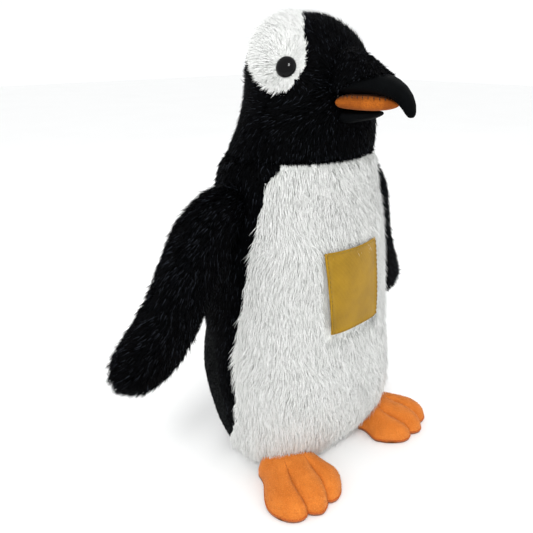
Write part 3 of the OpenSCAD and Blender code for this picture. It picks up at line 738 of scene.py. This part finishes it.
def makeEye(side):
    washer, _ = meshArrays(nodes[f"eye_washer_{side}"])
    eye, _ = meshArrays(nodes[f"eye_{side}"])
    centre = washer.mean(0)
    _, _, axes = np.linalg.svd(washer - centre, full_matrices=False)
    axis = axes[2] * np.sign((eye.mean(0) - centre) @ axes[2])
    height = (eye - centre) @ axis
    radial = np.linalg.norm((eye - centre) - np.outer(height, axis), axis=1)
    radius = radial.max()
    floor = height[radial > radius * 0.95].min()
    apex = height.max()
    side1 = np.cross(axis, [0, 0, 1.0])
    side1 /= np.linalg.norm(side1)
    side2 = np.cross(axis, side1)
    points = []
    turn = np.arange(eyeRing["around"]) * 2 * math.pi / eyeRing["around"]
    outline = [(radius * 0.8, floor - 0.6 * mm), (radius * 0.99, floor - 0.3 * mm),
               (radius + eyeRing["rim"] * 0.4, floor)]
    for a in np.linspace(0.06, 1, eyeRing["profile"]):
        angle = a * math.pi / 2
        outline.append((radius * math.cos(angle * 0.985) ** 0.8, floor + (apex - floor) * math.sin(angle)))
    for r, h in outline:
        around = np.cos(turn)[:, None] * side1 + np.sin(turn)[:, None] * side2
        points += list(centre + axis * h + r * around)
    points += [centre + axis * outline[0][1], centre + axis * apex]
    faces = ringsToFaces(len(outline), eyeRing["around"])
    eyeObj = makeMesh(f"eye_{side}_dome", points, faces, [eyePlastic])
    a, b, c = (np.array(points[i]) for i in faces[eyeRing["around"] * 6][:3])
    if np.cross(b - a, c - a) @ (a - centre) < 0:
        eyeObj.data.flip_normals()
    return eyeObj, centre + axis * floor, axis, radius


eyes = {side: makeEye(side) for side in ("right", "left")}


def aheadOfEye(points):
    # the black of the face comes close in front of each eye, and back under it
    ahead = np.zeros(len(points), bool)
    for _, centre, _, radius in eyes.values():
        off = points - centre
        limit = radius + 2 * mm + (off[:, 2] - 2 * mm).clip(0) - 0.4 * (-off[:, 2]).clip(0)
        ahead |= (-off[:, 1] > limit) & (np.linalg.norm(off, axis=1) < 30 * mm)
    return ahead


for face in headSkin.data.polygons:
    onBand = bandTree.find_nearest(face.center)[3] < otherTree.find_nearest(face.center)[3]
    face.material_index = int(onBand and not aheadOfEye(np.array([face.center]))[0])
print("eyes made")

# chest label: woven patch that lies on the pile

labelPlan = {"lift": 4.2 * mm, "thick": 0.9 * mm, "columns": 30, "rows": 34, "hem": 2.4 * mm,
             "hemRise": 0.5 * mm, "cornerLift": 1.0 * mm, "skew": 3 * mm, "raise": 2.6 * mm, "stretch": 1.045}


def makeLabel():
    plan = labelPlan
    low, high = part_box("chest_label")
    tree = surfaceOf([nodes["chest_label"]])
    wide, tall = high.x - low.x, high.z - low.z
    front, back = [], []
    for j in range(plan["rows"] + 1):
        for i in range(plan["columns"] + 1):
            u, v = i / plan["columns"], j / plan["rows"]
            x = low.x + wide * (0.004 + 0.992 * u)
            z = low.z + tall * (0.004 + 0.992 * v)
            hit = tree.ray_cast(Vector((x, -farOut, z)), Vector((0, 1, 0)))
            x -= plan["skew"] * (1 - u) * v  # sewn on a little askew
            z = low.z + (z - low.z) * plan["stretch"] + plan["raise"]
            y = hit[0].y if hit[0] is not None else low.y
            edge = min(u * wide, (1 - u) * wide, v * tall, (1 - v) * tall)
            hem = plan["hemRise"] if edge < plan["hem"] else 0
            wave = 0.5 * mm * math.sin(5 * u + 2) * math.sin(4 * v + 1)
            corner = plan["cornerLift"] * (abs(2 * u - 1) * abs(2 * v - 1)) ** 3
            puff = 0.8 * mm * (1 - (2 * u - 1) ** 2) * (1 - (2 * v - 1) ** 2)
            out = plan["lift"] + wave + puff - corner
            front.append((x, y - out - hem, z))
            back.append((x, y - out + plan["thick"], z))
    faces, _ = sheetFaces(plan["rows"] + 1, plan["columns"] + 1)
    label = faceOutward(makeMesh("label_patch", front + back, faces, [goldSatin]))
    subdivide(label)
    paths = []
    margin, length, pitch = 1.3 * mm, 2.1 * mm, 3.0 * mm
    labelTree = surfaceOf([label])

    def onLabel(x, z, out):
        hit = labelTree.ray_cast(Vector((x, -farOut, z)), Vector((0, 1, 0)))
        return np.array([x, (hit[0].y if hit[0] is not None else low.y) - out, z])

    def askew(u, v, out):  # a point of the patch from its own width and height
        x = low.x + wide * u - plan["skew"] * (1 - u) * v
        return onLabel(x, low.z + tall * v * plan["stretch"] + plan["raise"], out)

    share = np.linspace(0, 1, 7)
    bow = 0.3 * mm * (1 - (2 * share - 1) ** 2)
    for v in (margin / tall, 1 - margin / tall):
        for x in np.arange(margin, wide - margin - length, pitch):
            paths.append([askew((x + length * s) / wide, v, b) for s, b in zip(share, bow)])
    for u in (margin / wide, 1 - margin / wide):
        for z in np.arange(margin, tall - margin - length, pitch):
            paths.append([askew(u, (z + length * s) / tall, b) for s, b in zip(share, bow)])
    return label, tubes("label_border_stitches", paths, 0.28 * mm, goldThread)


label, labelStitches = makeLabel()
print("label made")

# pile: locks of fibre as fine closed spikes, combed as the plush lies

seedStart = 20


skinReach = 6.5 * mm  # the puffed skin may stand this far off its panel
seamScatter = 0.6 * mm  # roots stray by this much, so that the pile closes over the seams


def distanceTo(tree, points):
    return np.array([tree.find_nearest(Vector(p))[3] for p in points])


def triangleSizes(obj):
    # the corners of each triangle, its face direction scaled by twice its area, and its area
    points, triangles = meshArrays(obj)
    a, b, c = (points[triangles[:, i]] for i in range(3))
    cross = np.cross(b - a, c - a)
    return a, b, c, cross, np.linalg.norm(cross, axis=1) / 2


def scatterPoints(a, b, c, area, count, rng):
    # random points on triangles, evenly by area, and the triangle that each is on
    pick = rng.choice(len(area), count, p=area / area.sum())
    u, v = rng.random(count), rng.random(count)
    flip = u + v > 1
    u[flip], v[flip] = 1 - u[flip], 1 - v[flip]
    return a[pick] + u[:, None] * (b[pick] - a[pick]) + v[:, None] * (c[pick] - a[pick]), pick


def sampleRoots(nodeNames, skinTree, count, rng):
    # random points on the outward faces of the panels, moved on to the skin
    found = []
    for name in nodeNames:
        a, b, c, cross, area = triangleSizes(nodes[name])
        normal = cross / np.maximum(area[:, None] * 2, 1e-15)
        middle = (a + b + c) / 3
        outer = np.zeros(len(area), bool)
        for i, (m, n) in enumerate(zip(middle, normal)):
            _, facing, _, gap = skinTree.find_nearest(Vector(m))
            outer[i] = area[i] > 0 and facing is not None and facing.dot(Vector(n)) > 0.5 and gap < skinReach
        found.append((a[outer], b[outer], c[outer], area[outer]))
    a, b, c = (np.concatenate([f[i] for f in found]) for i in range(3))
    area = np.concatenate([f[3] for f in found])
    where, _ = scatterPoints(a, b, c, area, count, rng)
    where += rng.normal(0, seamScatter, where.shape)
    roots, normals = np.empty_like(where), np.empty_like(where)
    for i, p in enumerate(where):
        roots[i], normals[i], _, _ = skinTree.find_nearest(Vector(p))
    return roots, normals


def unit(v):
    return v / (np.linalg.norm(v, axis=1)[:, None] + 1e-12)


def onSurface(v, normals):
    return unit(v - (v * normals).sum(1)[:, None] * normals)


def swirl(comb, roots, normals, amount):
    # broad waves in the lie of the pile
    p = roots / mm
    angle = amount * (np.sin(p[:, 0] * 0.13 + p[:, 2] * 0.07)
                      + 0.7 * np.sin(p[:, 2] * 0.16 - p[:, 1] * 0.11 + 1.7)
                      + 0.5 * np.sin(p[:, 0] * 0.31 + p[:, 1] * 0.23 + p[:, 2] * 0.27))
    side = np.cross(normals, comb)
    return unit(comb * np.cos(angle)[:, None] + side * np.sin(angle)[:, None])


def growPile(name, roots, normals, comb, plan, materials, rng, lengthScale=None, liftScale=None):
    count = len(roots)
    length = plan["length"] * rng.normal(1, 0.13, count).clip(0.6, 1.4)
    if lengthScale is not None:
        length = length * lengthScale
    lift = plan["lift"] * rng.normal(1, 0.18, count).clip(0.4, 1.6)
    if liftScale is not None:
        lift = lift * liftScale
    lift = lift[:, None]
    comb = unit(comb + rng.normal(0, plan["scatter"], (count, 3)))
    start = roots - normals * plan["sunk"]
    first = unit(normals * lift + comb * (1.05 - lift).clip(0.05))
    second = unit(normals * lift * plan["flatten"] + comb)
    middle = start + first * (length * 0.5)[:, None]
    tip = middle + second * (length * 0.5)[:, None]
    # locks: the tips lean to the nearest lock's middle
    locks = rng.choice(count, max(count // plan["perLock"], 1), replace=False)
    tree = KDTree(len(locks))
    for i, k in enumerate(locks):
        tree.insert(Vector(roots[k]), i)
    tree.balance()
    lock = np.array([tree.find(Vector(r))[1] for r in roots])
    pull = plan["clump"] * rng.uniform(0.5, 1, count)[:, None]
    aim = tip[locks[lock]]
    tip = tip + (aim - tip) * pull
    middle = middle + (middle[locks[lock]] - middle) * pull * 0.5
    floorZ = 0.4 * mm
    tip[:, 2] = np.maximum(tip[:, 2], floorZ)
    middle[:, 2] = np.maximum(middle[:, 2], floorZ * 1.5)
    side = unit(np.cross(first, normals + 0.01))
    other = unit(np.cross(first, side))
    radius = plan["radius"] * rng.uniform(0.7, 1.25, count)
    turn = rng.uniform(0, 2 * math.pi, count)
    points = np.empty((count, 7, 3))
    for j in range(3):
        a = turn + j * 2 * math.pi / 3
        ring = (np.cos(a)[:, None] * side + np.sin(a)[:, None] * other) * radius[:, None]
        points[:, j] = start + ring
        points[:, 3 + j] = middle + ring * 0.85
    points[:, 6] = tip
    quads = np.array([[0, 1, 4, 3], [1, 2, 5, 4], [2, 0, 3, 5]])
    tips = np.array([[3, 4, 6], [4, 5, 6], [5, 3, 6], [2, 1, 0]])
    base = (np.arange(count) * 7)[:, None]
    loops = np.concatenate([(base + quads.ravel()[None]), (base + tips.ravel()[None])], axis=1)
    starts = np.arange(count)[:, None] * 24 + np.array([0, 4, 8, 12, 15, 18, 21])[None]
    lockTone = rng.integers(1, len(materials) - 1, len(locks))[lock]
    ownTone = rng.integers(1, len(materials) - 1, count)
    tone = np.where(rng.random(count) < 0.5, lockTone, ownTone)
    # a few scattered locks take the last colour; on the black pile that grey is a painted highlight for the
    # shine of the fibres
    tone = np.where(rng.random(count) < plan["speckle"], len(materials) - 1, tone)
    slots = np.zeros((count, 7), np.int32)
    # the root part of some locks takes the first, darkest colour: painted shade deep in the pile
    slots[:, :3] = np.where(rng.random(count) < plan["rootShare"], 0, tone)[:, None]
    slots[:, 3:6] = tone[:, None]
    mesh = bpy.data.meshes.new(name)
    mesh.vertices.add(count * 7)
    mesh.vertices.foreach_set("co", points.ravel())
    mesh.loops.add(count * 24)
    mesh.loops.foreach_set("vertex_index", loops.ravel().astype(np.int32))
    mesh.polygons.add(count * 7)
    mesh.polygons.foreach_set("loop_start", starts.ravel().astype(np.int32))
    mesh.update(calc_edges=True)
    for material in materials:
        mesh.materials.append(material)
    mesh.polygons.foreach_set("material_index", slots.ravel())
    mesh.polygons.foreach_set("use_smooth", [True] * (count * 7))
    # the fibres shade as one soft surface: each normal is mostly that of the cloth it grows from
    middleOf = np.stack([start, middle, tip], axis=1)[:, [0, 0, 0, 1, 1, 1, 2]]
    around = points - middleOf
    around /= np.linalg.norm(around, axis=2)[:, :, None] + 1e-9
    soft = normals[:, None] * plan["softness"] + around * (1 - plan["softness"])
    soft /= np.linalg.norm(soft, axis=2)[:, :, None]
    mesh.normals_split_custom_set_from_vertices(soft.reshape(-1, 3).tolist())
    obj = bpy.data.objects.new(name, mesh)
    scene.collection.objects.link(obj)
    return obj


torsoTree = surfaceOf([torsoSkin])
headTree = surfaceOf([headSkin])
down = np.array([[0, 0, -1.0]])

bellyPile = {"count": 19900, "length": 10 * mm, "lift": 0.5, "flatten": 0.4, "scatter": 0.2,
             "sunk": 0.6 * mm, "perLock": 7, "clump": 0.3, "radius": 0.22 * mm, "speckle": 0.06,
             "rootShare": 0.5, "softness": 0.85}
backPile = dict(bellyPile, count=19000, length=8 * mm, lift=0.56, clump=0.35, radius=0.32 * mm,
                speckle=0.07, rootShare=0.9, softness=0.7)
headPile = dict(backPile, count=19500, length=6.6 * mm, radius=0.26 * mm, clump=0.3, lift=0.6)
bandPile = dict(bellyPile, count=17000, length=8.4 * mm, radius=0.24 * mm, clump=0.3, lift=0.6)
seatNap = dict(backPile, count=16000, length=2.4 * mm, radius=0.22 * mm, lift=0.75, clump=0.15, scatter=0.3)
flipperPile = dict(backPile, count=19500, length=8.5 * mm, clump=0.45, lift=0.6, speckle=0.08)


def labelCover(roots):
    # 1 under the label, fading to 0 past its edge
    low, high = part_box("chest_label")
    dx = np.maximum(np.maximum(low.x - roots[:, 0], roots[:, 0] - high.x), 0)
    dz = np.maximum(np.maximum(low.z - roots[:, 2], roots[:, 2] - high.z), 0)
    front = roots[:, 1] < 0
    return np.where(front, 1 - fade(np.hypot(dx, dz * 0.6) / (3 * mm)), 0)


def growTorso(name, panels, plan, materials, seed, edgeTree=None):
    rng = np.random.default_rng(seedStart + seed)
    roots, normals = sampleRoots(panels, torsoTree, plan["count"], rng)
    comb = swirl(onSurface(np.repeat(down, len(roots), 0), normals), roots, normals, 0.2)
    covered = labelCover(roots)
    outward = fade((np.abs(roots[:, 0]) - 35 * mm) / (25 * mm))
    hem = (1 - fade(roots[:, 2] / (14 * mm))) * (0.35 + 0.65 * outward)
    scale = (1 - 0.5 * covered) * (1 - 0.6 * hem)
    if edgeTree is not None:  # the black locks stop short of the white
        scale *= 0.4 + 0.6 * fade(distanceTo(edgeTree, roots) / (8 * mm))
        scale *= 0.5 + 0.5 * fade(distanceTo(seatTree, roots) / (12 * mm))
    return growPile(name, roots, normals, comb, plan, materials, rng, lengthScale=scale,
                    liftScale=(1 - 0.75 * covered))


bellyTree = surfaceOf([nodes["belly_panel"]])
seatTree = surfaceOf([nodes["seat_panel"]])
# name, panel, pile, colours, seed, and what its locks grow shorter towards; three layers on the belly
torsoPiles = [
    ("belly_pile_under", "belly_panel", bellyPile, whitePile, 1, None),
    ("belly_pile_middle", "belly_panel", bellyPile, whitePile, 10, None),
    ("belly_pile_over", "belly_panel", bellyPile, whitePile, 11, None),
    ("back_pile_right", "back_panel_right", backPile, blackPile, 2, bellyTree),
    ("back_pile_left", "back_panel_left", backPile, blackPile, 3, bellyTree),
    ("seat_nap", "seat_panel", seatNap, blackPile, 14, None),
]
pile = {name: growTorso(name, [panel], *rest) for name, panel, *rest in torsoPiles}
print("torso pile grown")

faceTree = surfaceOf([nodes["face_panel"]])
beakTree = surfaceOf([nodes["upper_beak"], nodes["lower_beak"], nodes["chin_gusset"]])
beakRoot = np.array([0, -52 * mm, 258 * mm])


def headComb(roots, normals):
    # the pile runs back from the beak, down the throat, and outward round each eye
    comb = onSurface(roots - beakRoot, normals)
    low = fade((250 * mm - roots[:, 2]) / (30 * mm))[:, None]
    comb = onSurface(comb * (1 - low) + down * low * 1.5, normals)
    for _, centre, _, _ in eyes.values():
        off = roots - centre
        near = (1 - fade((np.linalg.norm(off, axis=1) - 8 * mm) / (16 * mm)))[:, None]
        comb = onSurface(comb * (1 - near) + unit(off) * near * 1.4, normals)
    return comb


def growHead(name, panels, plan, materials, seed, edgeTree=None):
    rng = np.random.default_rng(seedStart + seed)
    roots, normals = sampleRoots(panels, headTree, plan["count"], rng)
    keep = np.ones(len(roots), bool)
    if name == "band_pile":
        keep &= ~aheadOfEye(roots)
    if name == "face_pile":
        onBand = distanceTo(bandTree, roots) < distanceTo(faceTree, roots)
        keep &= ~onBand | aheadOfEye(roots)
    scale = np.ones(len(roots))
    for _, centre, _, radius in eyes.values():
        away = np.linalg.norm(roots - centre, axis=1)
        keep &= away > radius * 0.9
        scale *= 0.45 + 0.55 * fade((away - radius * 0.9) / (7 * mm))
    clear = distanceTo(beakTree, roots)
    keep &= clear > 0.3 * mm
    scale *= 0.5 + 0.5 * fade(clear / (6 * mm))
    if edgeTree is not None:  # shorter towards the seam between white and black, most of all at its front
        least = (0.45 + 0.35 * headComb(roots, normals)[:, 1]).clip(0.2, 0.75)
        scale *= least + (1 - least) * fade(distanceTo(edgeTree, roots) / (8 * mm))
    else:  # short on the forehead, and at the throat so that the belly shows up to the seam
        scale *= 1 - 0.25 * fade((roots[:, 2] - 255 * mm) / (12 * mm))
        throat = fade((-5 * mm - roots[:, 1]) / (10 * mm))
        scale *= 1 - 0.35 * (1 - fade((roots[:, 2] - headPlan["low"]) / (9 * mm))) * throat
    roots, normals, scale = roots[keep], normals[keep], scale[keep]
    comb = swirl(headComb(roots, normals), roots, normals, 0.1)
    flat = 0.75 + 0.25 * fade((roots[:, 2] - headPlan["low"]) / (16 * mm))  # it lies over the neck seam
    return growPile(name, roots, normals, comb, plan, materials, rng, lengthScale=scale, liftScale=flat)


pile["face_pile"] = growHead("face_pile", ["face_panel", "head_band"], headPile, blackPile, 4)
pile["band_pile"] = growHead("band_pile", ["head_band"], bandPile, whitePile, 5, otherTree)
pile["nape_pile"] = growHead("nape_pile", ["nape_panel_right", "nape_panel_left"], headPile, blackPile,
                             6, bandTree)


def growOver(name, skin, plan, materials, seed, combOf, keepOf=None):
    # pile over a whole skin mesh
    rng = np.random.default_rng(seedStart + seed)
    a, b, c, cross, area = triangleSizes(skin)
    roots, pick = scatterPoints(a, b, c, area, plan["count"], rng)
    normals = unit(cross[pick])
    if keepOf is not None:
        keep = keepOf(roots)
        roots, normals = roots[keep], normals[keep]
    comb = swirl(onSurface(combOf(roots), normals), roots, normals, 0.12)
    return growPile(name, roots, normals, comb, plan, materials, rng)


def bridgeComb(roots):
    return np.stack([roots[:, 0] * 4, np.full(len(roots), -0.02), np.full(len(roots), -0.012)], axis=1)


bridgePile = dict(headPile, count=5000, length=4 * mm, lift=0.4)
pile["beak_bridge_pile"] = growOver("beak_bridge_pile", bridge, bridgePile, blackPile, 7, bridgeComb,
                                    lambda r: r[:, 2] > 259 * mm)
for number, side in enumerate(("right", "left")):
    sign = sideSign[side]
    hinge = np.array(joints[f"flipper_{side}_swing"]["pos_m"])
    droop = math.radians(flipperPlan["droop"][side])

    def flipperComb(roots, sign=sign, hinge=hinge, droop=droop):
        # along the flipper to its tip, and out towards its edges
        line = np.array([[r[1], r[2]] for r in flipperPlan["stations"]]) * mm
        c, s = math.cos(droop), math.sin(droop)
        line = np.stack([line[:, 0] * c + line[:, 1] * s, -line[:, 0] * s + line[:, 1] * c], axis=1)
        spot = np.stack([(roots[:, 0] - hinge[0]) * sign, roots[:, 2] - hinge[2]], axis=1)
        gap = np.linalg.norm(spot[:, None] - line[None], axis=2)
        near = gap.argmin(1)
        ahead = np.gradient(line, axis=0)[near]
        ahead /= np.linalg.norm(ahead, axis=1)[:, None]
        off = spot - line[near]
        off -= (off * ahead).sum(1)[:, None] * ahead
        flow = ahead + off / (22 * mm) * 0.7
        return np.stack([flow[:, 0] * sign, np.zeros(len(roots)), flow[:, 1]], axis=1)

    name = f"flipper_{side}_pile"
    pile[name] = growOver(name, flipperSkins[side], flipperPile, blackPile, 8 + number, flipperComb)
footNap = dict(bellyPile, count=19000, length=1.5 * mm, lift=0.7, radius=0.13 * mm, clump=0.1, scatter=0.5,
               sunk=0.4 * mm, speckle=0.08, softness=0.6)
for number, (side, (foot, _, _)) in enumerate(feet.items()):
    name = f"foot_{side}_nap"
    pile[name] = growOver(name, foot, footNap, orangePile, 12 + number,
                          lambda r: np.repeat([[0, -0.5, -1.0]], len(r), 0), lambda r: r[:, 2] > 2.2 * mm)
print("head, flipper and foot pile grown")


# closing seam at the back, hidden in the pile
def backward(p):
    return np.array([0, 1.0, 0])


closingSeam = threadStitches("closing_seam", "closing_stitches", 0.3 * mm, 0.5 * mm, backward, darkThread)

# what rides on what, and what stands for which node

standsFor = [
    (torsoSkin, "black_velboa", ["belly_panel", "back_panel_right", "back_panel_left", "seat_panel",
                                 "base_panel"]),
    (headSkin, "black_plush", ["face_panel", "head_band", "nape_panel_right", "nape_panel_left"]),
    (upperBeak, "black_suedette", ["upper_beak"]),
    (lowerBeak, "orange_suedette", ["lower_beak"]),
    (chinGusset, "black_suedette", ["chin_gusset"]),
    (mouthStitches, "dark_thread", ["beak_stitches"]),
    (label, "label_satin", ["chest_label"]),
    (labelStitches, "gold_thread", ["label_stitches"]),
    (closingSeam, "dark_thread", ["closing_stitches"]),
]
standsFor += [(eyes[side][0], "eye_plastic", [f"eye_{side}"]) for side in eyes]
standsFor += [(skin, "black_plush", [f"flipper_{side}_{part}" for part in ("front", "back", "stuffing")])
              for side, skin in flipperSkins.items()]
standsFor += [(foot, "orange_velour", [f"foot_{side}_{part}" for part in ("top", "sole", "stuffing")])
              for side, (foot, _, _) in feet.items()]
for piece, slotName, replaced in standsFor:
    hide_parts(*replaced)

# pieces that cross the neck seam are left on no body, and the others keep to one body
crossing = ("belly_pile_under", "belly_pile_middle", "belly_pile_over", "back_pile_right", "back_pile_left",
            "face_pile", "nape_pile")
for piece in (torsoSkin, headSkin, *[pile[name] for name in crossing]):
    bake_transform(piece)
for piece in (pile["band_pile"], pile["beak_bridge_pile"], bridge, upperBeak, lowerBeak, chinGusset,
              mouthStitches, eyes["right"][0], eyes["left"][0]):
    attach(piece, "head")
for piece in (label, labelStitches, closingSeam, pile["seat_nap"]):
    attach(piece, "torso")
for side, skin in flipperSkins.items():
    sign = sideSign[side]
    hinge = Vector(joints[f"flipper_{side}_swing"]["pos_m"])
    for piece in (skin, pile[f"flipper_{side}_pile"]):
        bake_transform(piece)
for side, (foot, creases, edge) in feet.items():
    hinge = Vector(joints[f"foot_{side}_flex"]["pos_m"])
    for piece in (foot, creases, edge, pile[f"foot_{side}_nap"]):  # the root stays sewn to the hem
        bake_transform(piece)
print("pieces placed on their bodies")

# camera, light and floor

view = {"aim": (-19.2, 15.0, 135.2), "turn": 44.39, "tilt": 22.06, "far": 391.1, "lens": 37.15}
turn, tilt = math.radians(view["turn"]), math.radians(view["tilt"])
aim = Vector(view["aim"]) * mm
out = Vector((-math.sin(turn) * math.cos(tilt), -math.cos(turn) * math.cos(tilt), math.sin(tilt)))
camera = bpy.data.objects.new("camera", bpy.data.cameras.new("camera"))
camera.data.lens = view["lens"]
camera.data.clip_start = 0.01
camera.location = aim + out * view["far"] * mm
camera.rotation_euler = (-out).to_track_quat("-Z", "Y").to_euler()
scene.collection.objects.link(camera)
scene.camera = camera


def areaLight(name, place, size, power, colour="#ffffff"):
    light = bpy.data.lights.new(name, "AREA")
    light.size = size
    light.energy = power
    light.color = hexColour(colour)[:3]
    obj = bpy.data.objects.new(name, light)
    obj.location = place
    obj.rotation_euler = (aim - Vector(place)).to_track_quat("-Z", "Y").to_euler()
    scene.collection.objects.link(obj)


areaLight("key", (-0.75, -0.45, 0.95), 0.24, 5)
areaLight("fill", (0.5, -0.9, 0.5), 0.9, 1.5)
areaLight("rim", (0.3, 0.8, 0.8), 0.7, 2)
world = bpy.data.worlds.new("studio")
scene.world = world
world.use_nodes = True
world.node_tree.nodes["Background"].inputs["Color"].default_value = hexColour("#f4f5f6")
world.node_tree.nodes["Background"].inputs["Strength"].default_value = 1.12
scene.view_settings.view_transform = "Standard"

floorMaterial, floorTree, floorShader = startMaterial("studio_paper_white_matt", **{"Roughness": 0.9})
paper = addNode(floorTree, "ShaderNodeTexNoise", {"Scale": 40.0, "Detail": 2.0})
paperTone = addNode(floorTree, "ShaderNodeValToRGB", {"Fac": paper.outputs["Fac"]})
paperTone.color_ramp.elements[0].color = hexColour("#f7f7f6")
paperTone.color_ramp.elements[1].color = hexColour("#fbfbfa")
floorTree.links.new(paperTone.outputs["Color"], floorShader.inputs["Base Color"])
floorSize = 4.0
floor = makeMesh("floor", [(-floorSize, -floorSize, 0), (floorSize, -floorSize, 0), (floorSize, floorSize, 0),
                           (-floorSize, floorSize, 0)], [(0, 1, 2, 3)], [floorMaterial], smooth=False)
print("camera and light set")
